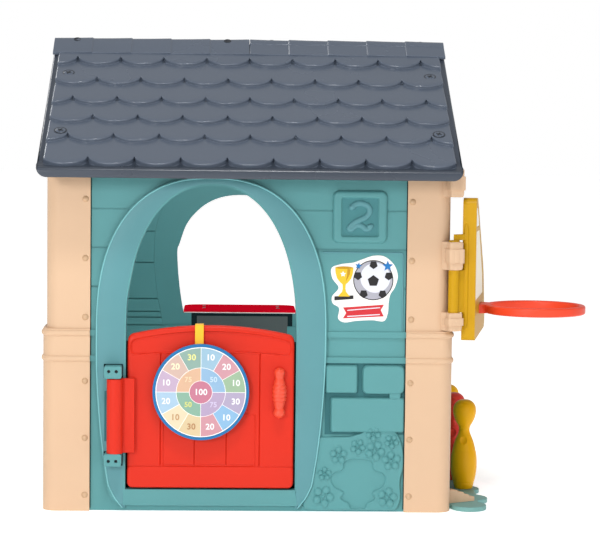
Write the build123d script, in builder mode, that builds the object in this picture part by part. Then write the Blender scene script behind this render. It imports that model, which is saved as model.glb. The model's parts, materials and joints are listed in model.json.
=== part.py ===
from build123d import *
import os
from math import atan2, cos, degrees, pi, radians, sin, tan

os.makedirs("parts", exist_ok=True)

# Plastic playhouse. Millimetres, X to the right, Y to the back, Z up.
# The origin is on the ground, at the middle of the four posts.

# ------------------------------------------------------------------ driving dimensions
house_width = 1040.0            # over the lower corner posts
house_depth = 960.0             # over the lower corner posts
post_leg = 120.0                # each leg of the L-shaped corner post
post_wall = 24.0                # thickness of a lower post leg
post_round = 35.0               # outer corner radius of the posts
post_split = 464.0              # where the upper post stands on the lower one
upper_front_inset = 4.0         # upper post set back from the lower one, front and back
upper_side_inset = 9.0          # the same, at the sides
post_tongue_length = 60.0       # upper post tongue, below and above the split
post_tongue_thick = 6.0
post_tongue_gap = 2.0           # between the post tongue and the wall tongue

wall_thick = 24.0
wall_recess = 12.0              # wall face behind the lower post face
wall_tongue_length = 40.0       # wall tongue behind the post leg
wall_tongue_thick = 8.0
wall_tongue_foot = 8.0          # its lowest point above the ground
wall_tongue_top = 870.0

rivet_heights_lower = (41.0, 187.0, 332.0)
rivet_heights_upper = (494.0, 643.0, 792.0)
rivet_from_edge = 12.0
rivet_head_radius = 8.2
rivet_head_height = 5.0
rivet_shank_radius = 3.0
rivet_clearance = 0.2

roof_peak = 1209.0              # peak of the plane through the shingle tips
roof_pitch = 29.2               # degrees
roof_side_overhang = 7.0        # beyond the lower post face, each end
eave_overhang = 114.0           # beyond the lower post face
eave_bottom = 852.0
eave_thick = 18.0
eave_drop = 1.0                 # eave edge below the shingle plane
eave_shelf = 64.0               # width of the flatter strip above the eave
roof_plate = 14.0               # plate under the shingles
shingle_lip = 10.0
eave_shingle_lip = 15.0
shingle_pitch = 115.0
shingle_sag = 32.0              # depth of a scallop
shingle_rows = (140.0, 250.0, 354.0, 451.0, 548.0, 665.0)   # lip distances down the slope
gable_rim_width = 14.0
gable_rim_drop = 2.0
eave_corner_round = 20.0

cap_reach = 103.0               # ridge cap down each slope
cap_rise = 2.5                  # cap top above the shingle plane
cap_tiles = 5                   # in each half
cap_collar = 29.0
cap_tile_drop = 2.5
cap_side_reach = 2.0            # cap beyond the roof, each end
cap_screw_from_middle = 60.0
cap_screw_from_end = 60.0       # from the end of the roof
cap_screw_slope = 24.0          # down the slope
cap_recess_radius = 13.0
cap_recess_depth = 5.0
cap_screw_radius = 2.5
cap_screw_head_radius = 8.0
cap_screw_head_thick = 3.0
cap_screw_length = 26.0

roof_screw_from_side = 41.0     # inside the lower post face
roof_screw_from_ridge = 166.0
roof_screw_from_front = 43.0    # inside the lower post face
roof_screw_head = 14.0
roof_screw_head_thick = 4.0
roof_screw_recess = 16.0
roof_screw_sink = 6.0
roof_screw_shank = 4.0
roof_screw_length = 40.0
roof_rail_width = 36.0          # rail inside the gable wall that carries the roof
roof_rail_height = 26.0

belt_low = (381.0, 396.0)
belt_high = (446.0, 461.0)
belt_proud = 5.0
plank_lines = (571.0, 670.0, 768.0)
groove_width = 4.0
groove_depth = 3.0

arch_x = -94.0                  # middle of the doorway
arch_proud = 14.0
arch_half = 292.0               # frame half width at the spring line
arch_foot_half = 261.0
arch_foot_height = 61.0
arch_foot = 15.0
arch_spring = 461.0
arch_top = 850.0
arch_power = 2.4
door_way_half = 215.5
door_way_spring = 450.0
door_way_top = 828.0
door_way_power = 2.25
door_sill = 56.0

door_gap_side = 4.5
door_gap_sill = 4.0
door_thick = 22.0
door_back_from_wall = 0.0
door_side_height = 449.0
door_top_height = 474.0
door_corner = 14.0
door_kick = (60.0, 115.0)
door_kick_proud = 3.0
door_kick_inset = 10.0
door_lines_x = (-221.0, 30.0)
door_lines_z = (116.0, 399.0)
door_panel_x = (-214.0, 19.0)
door_panel_z = (119.0, 248.0)
door_groove = 2.5

hinge_x = -335.0
hinge_gap = 1.0                 # barrel clear of the arch frame
hinge_barrel_radius = 20.5
hinge_barrel = (152.0, 341.0)
hinge_pin_radius = 5.0
hinge_running = 0.05
hinge_flange_thick = 13.5
hinge_flange_gap = 1.5
hinge_flange_end = -286.0
hinge_foot_start = -302.0
hinge_seat = 0.3                # under the barrel
hinge_block_x = (-362.0, -318.0)
hinge_block_proud = 40.0
hinge_block_height = 31.0
hinge_pin_bite = 11.0           # pin inside each block
hinge_screw_x = (-350.0, -331.0)
hinge_screw_head = 4.0
hinge_screw_shank = 2.5
hinge_screw_sink = 10.0
hinge_screw_length = 48.0
hinge_screw_from_pin = 7.0
screw_clearance = 0.15

grip_x = 79.5
grip_z = (241.0, 371.0)
grip_axis_proud = 14.0
grip_radius = 17.0
grip_end_radius = 15.0
grip_neck_radius = 11.0
grip_screw_z = (262.0, 350.0)
grip_screw_radius = 2.5

dart_x = -119.0
dart_z = 308.0
dart_radius = 122.0
dart_rim = 10.0
dart_tray_thick = 9.0
dart_rim_proud = 3.0
dart_sheet_thick = 1.5
dart_sheet_gap = 0.5
dart_stand_off = 14.0           # back of the tray to the door face
dart_bumper = (40.0, 20.0)
dart_bumper_gap = 0.3
dart_bumper_drop = 93.0
strap_x = -124.0
strap_width = 22.0
strap_thick = 3.0
strap_front_gap = 4.0
strap_back_gap = 0.3
strap_top_gap = 0.5
strap_back_leg = 50.0
strap_pad_height = 55.0

plaque_x = (211.0, 348.0)
plaque_z = (688.0, 816.0)
plaque_proud = 8.0
plaque_field = 12.0
plaque_sunk = 4.0
panel_x = (175.0, 392.0)
panel_z = (461.0, 664.0)
panel_proud = 2.0
brick_boxes = ((195.0, 271.0, 308.0, 375.0), (281.0, 390.0, 307.0, 375.0), (201.0, 393.0, 206.0, 293.0))
brick_proud = 8.0
brick_corner = 8.0
bush_proud = 8.0
bush_outline = ((166, 1), (378, 1), (396, 32), (397, 148), (388, 186), (365, 217), (337, 225),
                (286, 211), (253, 193), (197, 193), (172, 121), (140, 36))
flowers = ((230, 146, 22), (277, 169, 20), (318, 203, 20), (324, 160, 26), (364, 184, 18),
           (366, 132, 26), (194, 98, 17), (192, 39, 27), (356, 37, 26))
flower_proud = 5.0

window_x = -17.0
window_half = 187.0
window_sill = 421.0
window_spring = 560.0
window_top = 770.0
window_power = 2.2
window_corner = 25.0
window_margin = 30.0            # from the window to the end of the upper belt

counter_x = -14.0
counter_width = 302.0
counter_reach = 157.0           # beyond the outside of the back wall
counter_inside = 24.0
counter_thick = 9.0
counter_seat = 0.0
counter_round = 40.0
support_spacing = 220.0
support_thick = 14.0
support_drop = 110.0
support_reach = 125.0
counter_screw_radius = 2.5
counter_screw_head = 5.0
counter_screw_length = 34.0
counter_screw_y = (30.0, 95.0)

pivot_from_side = 2.0           # hoop board pivot, inside the lower post face
pivot_ahead = 3.0               # in front of the lower post face
board_yaw = 10.3                # degrees, far edge outwards
board_near = 18.0               # near edge from the pivot, along the board
board_back = 19.5               # back face from the pivot
board_thick = 34.5
board_bottom = 441.0
board_top = 803.0
board_far = 424.0
board_shoulder = (345.0, 598.0)
board_crown = 66.0
rod_radius = 13.5
rod_running = 0.08
rod_bottom = 467.0
rod_top = 697.0
tab_top = 712.0
web_thick = 12.0
sheet_thick = 2.0
sheet_gap = 0.2
sheet_sink = 2.5
sheet_split = (717.0, 729.0)
sheet_bottom = 541.0
sheet_near = 32.0

clip_wall = 4.4
clip_collar_wall = 9.0
clip_nub = 24.0
clip_stud = 4.0
clip_centres = (490.0, 657.5, 841.5)
clip_heights = (46.0, 71.0, 71.0)
clip_collars = (18.0, 34.0, 34.0)
clip_names = ("lower_clip", "middle_clip", "spare_clip")
clip_saddle = 30.0
clip_seat = 0.05

ring_centre = 218.0             # along the board
ring_outer = 132.0
ring_wall = 16.0
ring_z = (497.0, 520.0)
ring_round = 6.0
ring_gap = 11.0                 # ring to board face
ring_bracket_half = 45.0
ring_bracket_tip = 34.0
ring_screw_half = 26.0
ring_screw_radius = 3.0
ring_screw_head = 6.0
ring_screw_bite = 8.0

plate_thick = 12.0
plate_gap = 0.3
# out from the side of the lower post, and back from its front
plate_web_reach = 90.0
plate_web_start = 170.0
plate_web_end = 658.0
plate_pad_places = ((52.0, 55.0, 46.0), (68.0, 160.0, 45.0))    # and the radius
pin_places = ((65.0, 300.0), (51.0, 444.0), (52.0, 618.0))
pin_pad = 42.0
pin_height = 240.0
pin_skin = 3.0
pin_profile = ((22.0, 0.0), (26.0, 8.0), (29.0, 20.0), (34.0, 45.0), (35.0, 72.0), (32.5, 100.0),
               (26.0, 126.0), (17.0, 146.0), (14.0, 158.0), (18.0, 174.0), (28.0, 192.0),
               (31.0, 210.0), (28.0, 226.0), (17.0, 237.0), (0.0, 240.0))
pin_names = ("front_pin", "middle_pin", "back_pin")

wedge_from_front = 79.0
wedge_angle = 29.6              # degrees, towards the back
wedge_width = 28.0
wedge_steps = ((0.0, 47.0), (22.0, 40.0), (42.0, 33.0), (58.0, 25.0), (76.0, 20.0))
wedge_stud_height = 28.0
wedge_stud_from_front = 72.0
wedge_stud = 5.0

# ------------------------------------------------------------------ derived places
half_width = house_width / 2
half_depth = house_depth / 2
inner_x = half_width - post_leg             # where front and back walls end
inner_y = half_depth - post_leg             # where side walls end
leg_back_x = half_width - post_wall
leg_back_y = half_depth - post_wall
wall_face = half_depth - wall_recess
side_face = half_width - wall_recess
pitch_angle = radians(roof_pitch)
eave_reach = half_depth + eave_overhang
roof_half = half_width + roof_side_overhang
roof_width = 2 * roof_half
roof_screw_x = half_width - roof_screw_from_side
roof_screw_y = (roof_screw_from_ridge, half_depth - roof_screw_from_front)
cap_screws = (cap_screw_from_middle, roof_half - cap_screw_from_end)
pivot_x = half_width - pivot_from_side
pivot_y = -half_depth - pivot_ahead
plate_web = (half_width + plate_web_reach, plate_web_start - half_depth, plate_web_end - half_depth)
plate_pads = [(half_width + out, back - half_depth, radius) for out, back, radius in plate_pad_places]
pin_spots = [(half_width + out, back - half_depth) for out, back in pin_places]
wedge_root_y = wedge_from_front - half_depth
wedge_stud_y = wedge_stud_from_front - half_depth
seat_depth = shingle_lip + roof_plate
arch_face = wall_face + arch_proud
door_back = wall_face - wall_recess - door_back_from_wall
door_front = door_back + door_thick
door_left = arch_x - door_way_half + door_gap_side
door_right = arch_x + door_way_half - door_gap_side
door_bottom = door_sill + door_gap_sill
hinge_y = -(arch_face + hinge_gap + hinge_barrel_radius)
leaf_turn = radians(board_yaw)
along = (sin(leaf_turn), cos(leaf_turn), 0.0)
outward = (cos(leaf_turn), -sin(leaf_turn), 0.0)
board_plane = Plane(origin=(pivot_x, pivot_y, 0), x_dir=along, z_dir=outward)
rivet_x = inner_x + rivet_from_edge
rivet_y = inner_y + rivet_from_edge
front_face = Plane.XZ.offset(wall_face)
back_face = Plane((0, wall_face, 0), x_dir=(1, 0, 0), z_dir=(0, -1, 0))
post_corner_x = half_width - upper_side_inset - post_round
post_corner_y = -(half_depth - upper_front_inset - post_round)
cap_screw_reach = cap_screw_slope * cos(pitch_angle)
cap_screw_spots = [(-x, 0) for x in cap_screws]      # on the slope planes: left at the front, right at the back
clip_turn = degrees(atan2(post_corner_y - pivot_y, post_corner_x - pivot_x))


def roof_height(reach, depth):
    """Height of the roof at a distance from the ridge, a depth below the shingle plane."""
    return roof_peak - abs(reach) * tan(pitch_angle) - depth / cos(pitch_angle)


def slope_plane(reach, side, depth=0.0, lean=0.0):
    """Plane on the roof slope, y up the slope; side is -1 at the front, lean tips its lower edge up."""
    turn = pitch_angle - lean
    normal = (0, side * sin(turn), cos(turn))
    surface = Plane((0, side * reach, roof_height(reach, 0)), x_dir=(-side, 0, 0), z_dir=normal)
    return surface.offset(-depth)


def arch_points(half, spring, top, power, count=13):
    """Points of a superellipse arch from its right spring over the top to its left spring."""
    points = []
    for step in range(count):
        turn = pi * step / (count - 1)
        side = 1 if step * 2 < count - 1 else -1
        across = abs(cos(turn)) ** (2 / power) * half * side
        rise = abs(sin(turn)) ** (2 / power) * (top - spring)
        points.append((across, spring + rise))
    return points


def finish(part, name):
    """Label a finished piece and write it."""
    part.label = name
    export_step(part, f"parts/{name}.step")


# ------------------------------------------------------------------ tool bodies
# Everything above the underside of the roof, taken off the walls and posts.
with BuildPart() as above_seat:
    with BuildSketch(Plane.YZ.offset(-house_width)) as above_profile:
        with BuildLine():
            Polyline(
                (-house_depth, roof_height(house_depth, seat_depth)),
                (0, roof_height(0, seat_depth)),
                (house_depth, roof_height(house_depth, seat_depth)),
                (house_depth, 2 * roof_peak),
                (-house_depth, 2 * roof_peak),
                close=True,
            )
        make_face()
    extrude(amount=2 * house_width)

# ------------------------------------------------------------------ corner posts


def corner_post(outer_x, outer_y, low, high, heights):
    """L-shaped post at the front right corner, with its rivet holes."""
    with BuildPart() as post:
        with BuildSketch(Plane.XY.offset(low)) as section:
            with Locations(((inner_x + outer_x) / 2, -(inner_y + outer_y) / 2)):
                Rectangle(outer_x - inner_x, outer_y - inner_y)
            corner = section.vertices().group_by(Axis.X)[-1].sort_by(Axis.Y)[0]
            fillet(corner, radius=post_round)
            with Locations(((inner_x + leg_back_x) / 2, -(inner_y + leg_back_y) / 2)):
                Rectangle(leg_back_x - inner_x, leg_back_y - inner_y, mode=Mode.SUBTRACT)
        extrude(amount=high - low)
        with BuildSketch(Plane.XZ.offset(half_depth)):
            with Locations([(rivet_x, height) for height in heights]):
                Circle(rivet_shank_radius + rivet_clearance)
        extrude(amount=-post_wall, mode=Mode.SUBTRACT)
        with BuildSketch(Plane.YZ.offset(half_width)):
            with Locations([(-rivet_y, height) for height in heights]):
                Circle(rivet_shank_radius + rivet_clearance)
        extrude(amount=-post_wall, mode=Mode.SUBTRACT)
    return post.part


lower_post = corner_post(half_width, half_depth, 0, post_split, rivet_heights_lower)
upper_outer_x = half_width - upper_side_inset
upper_outer_y = half_depth - upper_front_inset
upper_shell = corner_post(upper_outer_x, upper_outer_y, post_split, roof_peak, rivet_heights_upper)
tongue_start = wall_tongue_length + post_tongue_gap

with BuildPart() as upper_post:
    add(upper_shell)
    with BuildSketch(Plane.XY.offset(post_split - post_tongue_length)):
        with BuildLine():
            Polyline(
                (inner_x + tongue_start, -leg_back_y),
                (leg_back_x, -leg_back_y),
                (leg_back_x, -inner_y - tongue_start),
                (leg_back_x - post_tongue_thick, -inner_y - tongue_start),
                (leg_back_x - post_tongue_thick, -leg_back_y + post_tongue_thick),
                (inner_x + tongue_start, -leg_back_y + post_tongue_thick),
                close=True,
            )
        make_face()
    extrude(amount=2 * post_tongue_length)
    add(above_seat.part, mode=Mode.SUBTRACT)

# Only the front right post carries the clips and the foot wedge.
with BuildPart() as clip_post:
    add(upper_post.part)
    for centre in clip_centres:
        stud_axis = Plane(
            (pivot_x, pivot_y, centre),
            x_dir=(0, 0, 1),
            z_dir=(cos(radians(clip_turn)), sin(radians(clip_turn)), 0),
        )
        with BuildSketch(stud_axis):
            Circle(clip_stud + screw_clearance)
        extrude(amount=post_round * 2, mode=Mode.SUBTRACT)

with BuildPart() as wedge_post:
    add(lower_post)
    with BuildSketch(Plane.YZ.offset(half_width)):
        with Locations((wedge_stud_y, wedge_stud_height)):
            Circle(wedge_stud + screw_clearance)
    extrude(amount=-post_wall, mode=Mode.SUBTRACT)

post_sets = (
    ("lower_post", lower_post, wedge_post.part),
    ("upper_post", upper_post.part, clip_post.part),
)
for post_name, plain, special in post_sets:
    finish(special, f"{post_name}_front_right")
    finish(mirror(plain, about=Plane.YZ), f"{post_name}_front_left")
    back_right = mirror(plain, about=Plane.XZ)
    finish(back_right, f"{post_name}_back_right")
    finish(mirror(back_right, about=Plane.YZ), f"{post_name}_back_left")

# ------------------------------------------------------------------ rivets


def push_rivet(length):
    """Domed push rivet along +Z, its head seated at z = 0 and its shank below."""
    sphere = (rivet_head_radius**2 + rivet_head_height**2) / (2 * rivet_head_height)
    half_turn = atan2(rivet_head_radius, sphere - rivet_head_height) / 2
    dome = (sphere * sin(half_turn), rivet_head_height - sphere * (1 - cos(half_turn)))
    with BuildPart() as rivet:
        with BuildSketch(Plane.XZ):
            with BuildLine():
                Polyline((0, rivet_head_height), (0, -length), (rivet_shank_radius, -length))
                Polyline((rivet_shank_radius, -length), (rivet_shank_radius, 0), (rivet_head_radius, 0))
                ThreePointArc((rivet_head_radius, 0), dome, (0, rivet_head_height))
            make_face()
        revolve(axis=Axis.Z)
    return rivet.part


rivet_grip_lower = post_wall + wall_tongue_thick + 1
rivet_grip_upper_front = rivet_grip_lower - upper_front_inset
rivet_grip_upper_side = rivet_grip_lower - upper_side_inset
rivet_rows = (
    ("front", half_depth, rivet_heights_lower, rivet_grip_lower),
    ("front", upper_outer_y, rivet_heights_upper, rivet_grip_upper_front),
    ("side", half_width, rivet_heights_lower, rivet_grip_lower),
    ("side", upper_outer_x, rivet_heights_upper, rivet_grip_upper_side),
)
with BuildPart() as front_rivets:
    for kind, face, heights, grip in rivet_rows:
        if kind == "front":
            spots = [(x, -face, z) for x in (-rivet_x, rivet_x) for z in heights]
            with Locations([Plane(spot, x_dir=(1, 0, 0), z_dir=(0, -1, 0)) for spot in spots]):
                add(push_rivet(grip))
with BuildPart() as right_rivets:
    for kind, face, heights, grip in rivet_rows:
        if kind == "side":
            spots = [(face, y, z) for y in (-rivet_y, rivet_y) for z in heights]
            with Locations([Plane(spot, x_dir=(0, 1, 0), z_dir=(1, 0, 0)) for spot in spots]):
                add(push_rivet(grip))
finish(front_rivets.part, "front_rivets")
finish(mirror(front_rivets.part, about=Plane.XZ), "back_rivets")
finish(right_rivets.part, "right_rivets")
finish(mirror(right_rivets.part, about=Plane.YZ), "left_rivets")

# ------------------------------------------------------------------ front wall
wall_blank_height = roof_peak
tongue_span = wall_tongue_top - wall_tongue_foot
tongue_middle = (wall_tongue_top + wall_tongue_foot) / 2
rivet_heights = rivet_heights_lower + rivet_heights_upper


def wall_blank():
    """Front wall plate with its side tongues and their rivet holes, up to the roof."""
    with BuildPart() as blank:
        with BuildSketch(front_face):
            with Locations((0, wall_blank_height / 2)):
                Rectangle(2 * inner_x, wall_blank_height)
        extrude(amount=-wall_thick)
        with BuildSketch(Plane.XZ.offset(leg_back_y)):
            for side in (-1, 1):
                with Locations((side * (inner_x + wall_tongue_length / 2), tongue_middle)):
                    Rectangle(wall_tongue_length, tongue_span)
        extrude(amount=-wall_tongue_thick)
        with BuildSketch(Plane.XZ.offset(leg_back_y)):
            with Locations([(x, z) for x in (-rivet_x, rivet_x) for z in rivet_heights]):
                Circle(rivet_shank_radius + rivet_clearance)
        extrude(amount=-wall_tongue_thick, mode=Mode.SUBTRACT)
        add(above_seat.part, mode=Mode.SUBTRACT)
    return blank.part


with BuildPart() as front_wall:
    add(wall_blank())
    # belt beads
    with BuildSketch(front_face):
        for low, high in (belt_low, belt_high):
            with Locations((0, (low + high) / 2)):
                Rectangle(2 * inner_x, high - low)
    extrude(amount=belt_proud)
    # plank grooves
    with BuildSketch(front_face):
        for height in plank_lines:
            with Locations((0, height)):
                Rectangle(2 * inner_x, groove_width)
    extrude(amount=-groove_depth, mode=Mode.SUBTRACT)
    # smooth panel on the right, number plaque and bricks
    with BuildSketch(front_face):
        with Locations(((panel_x[0] + panel_x[1]) / 2, (panel_z[0] + panel_z[1]) / 2)):
            Rectangle(panel_x[1] - panel_x[0], panel_z[1] - panel_z[0])
    extrude(amount=panel_proud)
    with BuildSketch(front_face):
        with Locations(((plaque_x[0] + plaque_x[1]) / 2, (plaque_z[0] + plaque_z[1]) / 2)):
            RectangleRounded(plaque_x[1] - plaque_x[0], plaque_z[1] - plaque_z[0], brick_corner)
    extrude(amount=plaque_proud)
    with BuildSketch(Plane.XZ.offset(wall_face + plaque_proud)):
        with Locations(((plaque_x[0] + plaque_x[1]) / 2, (plaque_z[0] + plaque_z[1]) / 2)):
            field_width = plaque_x[1] - plaque_x[0] - 2 * plaque_field
            field_height = plaque_z[1] - plaque_z[0] - 2 * plaque_field
            RectangleRounded(field_width, field_height, brick_corner / 2)
    extrude(amount=-plaque_sunk, mode=Mode.SUBTRACT)
    with BuildSketch(front_face):
        for left, right, low, high in brick_boxes:
            with Locations(((left + right) / 2, (low + high) / 2)):
                RectangleRounded(right - left, high - low, brick_corner)
    extrude(amount=brick_proud)
    # relief bush with flowers
    with BuildSketch(front_face):
        with BuildLine():
            Polyline(*bush_outline, close=True)
        make_face()
    extrude(amount=bush_proud)
    with BuildSketch(Plane.XZ.offset(wall_face + bush_proud)):
        for x, z, radius in flowers:
            with Locations((x, z)):
                Circle(radius)
    extrude(amount=flower_proud)
    # arch frame round the doorway
    foot_corner = (arch_foot_half + door_way_half) / 2
    with BuildSketch(Plane((arch_x, -wall_face, 0), x_dir=(1, 0, 0), z_dir=(0, -1, 0))):
        with BuildLine():
            arch_side = [(arch_foot_half, arch_foot_height), (281, 207), (291, 360)]
            arch_crown = arch_points(arch_half, arch_spring, arch_top, arch_power)
            arch_return = [(-x, z) for x, z in reversed(arch_side)]
            Spline(*arch_side, *arch_crown, *arch_return)
            ThreePointArc(
                (-arch_foot_half, arch_foot_height),
                (-foot_corner - 7, arch_foot + 14),
                (-door_way_half, arch_foot),
            )
            Line((-door_way_half, arch_foot), (door_way_half, arch_foot))
            ThreePointArc(
                (door_way_half, arch_foot),
                (foot_corner + 7, arch_foot + 14),
                (arch_foot_half, arch_foot_height),
            )
        make_face()
    extrude(amount=arch_proud)
    # doorway, open from front to back
    with BuildSketch(Plane((arch_x, -arch_face, 0), x_dir=(1, 0, 0), z_dir=(0, -1, 0))):
        with BuildLine():
            crown = arch_points(door_way_half, door_way_spring, door_way_top, door_way_power)
            Spline(*crown, tangents=((0, 1), (0, -1)))
            Polyline(crown[-1], (-door_way_half, door_sill), (door_way_half, door_sill), crown[0])
        make_face()
    extrude(amount=-(arch_proud + wall_thick), mode=Mode.SUBTRACT)
    # screw holes behind the hinge blocks
    block_bottoms = (hinge_barrel[0] - hinge_seat - hinge_block_height, hinge_barrel[1] + 2)
    lower_screw_z = hinge_barrel[0] - hinge_seat - hinge_pin_bite - hinge_screw_from_pin
    upper_screw_z = hinge_barrel[1] + 2 + hinge_pin_bite + hinge_screw_from_pin
    hinge_screw_spots = [(x, z) for x in hinge_screw_x for z in (lower_screw_z, upper_screw_z)]
    with BuildSketch(Plane.XZ.offset(arch_face)):
        with Locations(hinge_screw_spots):
            Circle(hinge_screw_shank + screw_clearance)
    extrude(amount=-(hinge_screw_length - hinge_block_proud + hinge_screw_sink + 2), mode=Mode.SUBTRACT)
finish(front_wall.part, "front_wall")

# ------------------------------------------------------------------ back wall
with BuildPart() as back_wall:
    add(wall_blank().rotate(Axis.Z, 180))
    window_plane = Plane((window_x, wall_face + 1, 0), x_dir=(1, 0, 0), z_dir=(0, -1, 0))
    with BuildSketch(window_plane) as window_outline:
        with BuildLine():
            crown = arch_points(window_half, window_spring, window_top, window_power)
            Spline(*crown, tangents=((0, 1), (0, -1)))
            Polyline(crown[-1], (-window_half, window_sill), (window_half, window_sill), crown[0])
        make_face()
        fillet(window_outline.vertices().group_by(Axis.Y)[0], radius=window_corner)
    extrude(amount=wall_thick + 2, mode=Mode.SUBTRACT)
    # belt beads; the upper one stops at the window
    window_left = window_x - window_half - window_margin
    window_right = window_x + window_half + window_margin
    with BuildSketch(back_face):
        with Locations((0, (belt_low[0] + belt_low[1]) / 2)):
            Rectangle(2 * inner_x, belt_low[1] - belt_low[0])
        for left, right in ((-inner_x, window_left), (window_right, inner_x)):
            with Locations(((left + right) / 2, (belt_high[0] + belt_high[1]) / 2)):
                Rectangle(right - left, belt_high[1] - belt_high[0])
    extrude(amount=-belt_proud)
    # plank grooves beside and over the window
    with BuildSketch(back_face):
        for height in plank_lines:
            with Locations((0, height)):
                Rectangle(2 * inner_x, groove_width)
    extrude(amount=groove_depth, mode=Mode.SUBTRACT)
finish(back_wall.part, "back_wall")

# ------------------------------------------------------------------ side walls
rail_inner = side_face - wall_thick - roof_rail_width
with BuildPart() as right_wall:
    with BuildSketch(Plane.YZ.offset(side_face)):
        with Locations((0, wall_blank_height / 2)):
            Rectangle(2 * inner_y, wall_blank_height)
    extrude(amount=-wall_thick)
    with BuildSketch(Plane.YZ.offset(leg_back_x)):
        for side in (-1, 1):
            with Locations((side * (inner_y + wall_tongue_length / 2), tongue_middle)):
                Rectangle(wall_tongue_length, tongue_span)
    extrude(amount=-wall_tongue_thick)
    with BuildSketch(Plane.YZ.offset(leg_back_x)):
        with Locations([(y, z) for y in (-rivet_y, rivet_y) for z in rivet_heights]):
            Circle(rivet_shank_radius + rivet_clearance)
    extrude(amount=-wall_tongue_thick, mode=Mode.SUBTRACT)
    with BuildSketch(Plane.YZ.offset(side_face)):
        for low, high in (belt_low, belt_high):
            with Locations((0, (low + high) / 2)):
                Rectangle(2 * inner_y, high - low)
    extrude(amount=belt_proud)
    with BuildSketch(Plane.YZ.offset(side_face)):
        for height in plank_lines:
            with Locations((0, height)):
                Rectangle(2 * inner_y, groove_width)
    extrude(amount=-groove_depth, mode=Mode.SUBTRACT)
    # rail under the roof, inside the gable
    rail_reach = wall_face - wall_thick
    rail_depth = seat_depth + roof_rail_height * cos(pitch_angle)
    with BuildSketch(Plane.YZ.offset(rail_inner)):
        with BuildLine():
            Polyline(
                (-rail_reach, roof_height(rail_reach, seat_depth)),
                (0, roof_height(0, seat_depth)),
                (rail_reach, roof_height(rail_reach, seat_depth)),
                (rail_reach, roof_height(rail_reach, rail_depth)),
                (0, roof_height(0, rail_depth)),
                (-rail_reach, roof_height(rail_reach, rail_depth)),
                close=True,
            )
        make_face()
    extrude(amount=roof_rail_width + 1)
    add(above_seat.part, mode=Mode.SUBTRACT)
    for side in (-1, 1):
        for reach in roof_screw_y:
            with BuildSketch(slope_plane(reach, side)):
                with Locations((-side * roof_screw_x, 0)):
                    Circle(roof_screw_shank + screw_clearance)
            extrude(amount=-(roof_screw_length + roof_screw_sink + 2), mode=Mode.SUBTRACT)
    with BuildSketch(slope_plane(cap_screw_reach, 1)):
        with Locations(cap_screw_spots):
            Circle(cap_screw_radius + screw_clearance)
    extrude(amount=-(cap_recess_depth + cap_screw_length + 2), mode=Mode.SUBTRACT)
finish(right_wall.part, "right_wall")
finish(right_wall.part.rotate(Axis.Z, 180), "left_wall")

# ------------------------------------------------------------------ roof
shingle_radius = ((shingle_pitch / 2) ** 2 + shingle_sag**2) / (2 * shingle_sag)
shingle_field = roof_half - gable_rim_width
shelf_start = eave_reach - eave_shelf
shingle_columns = 9


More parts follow.
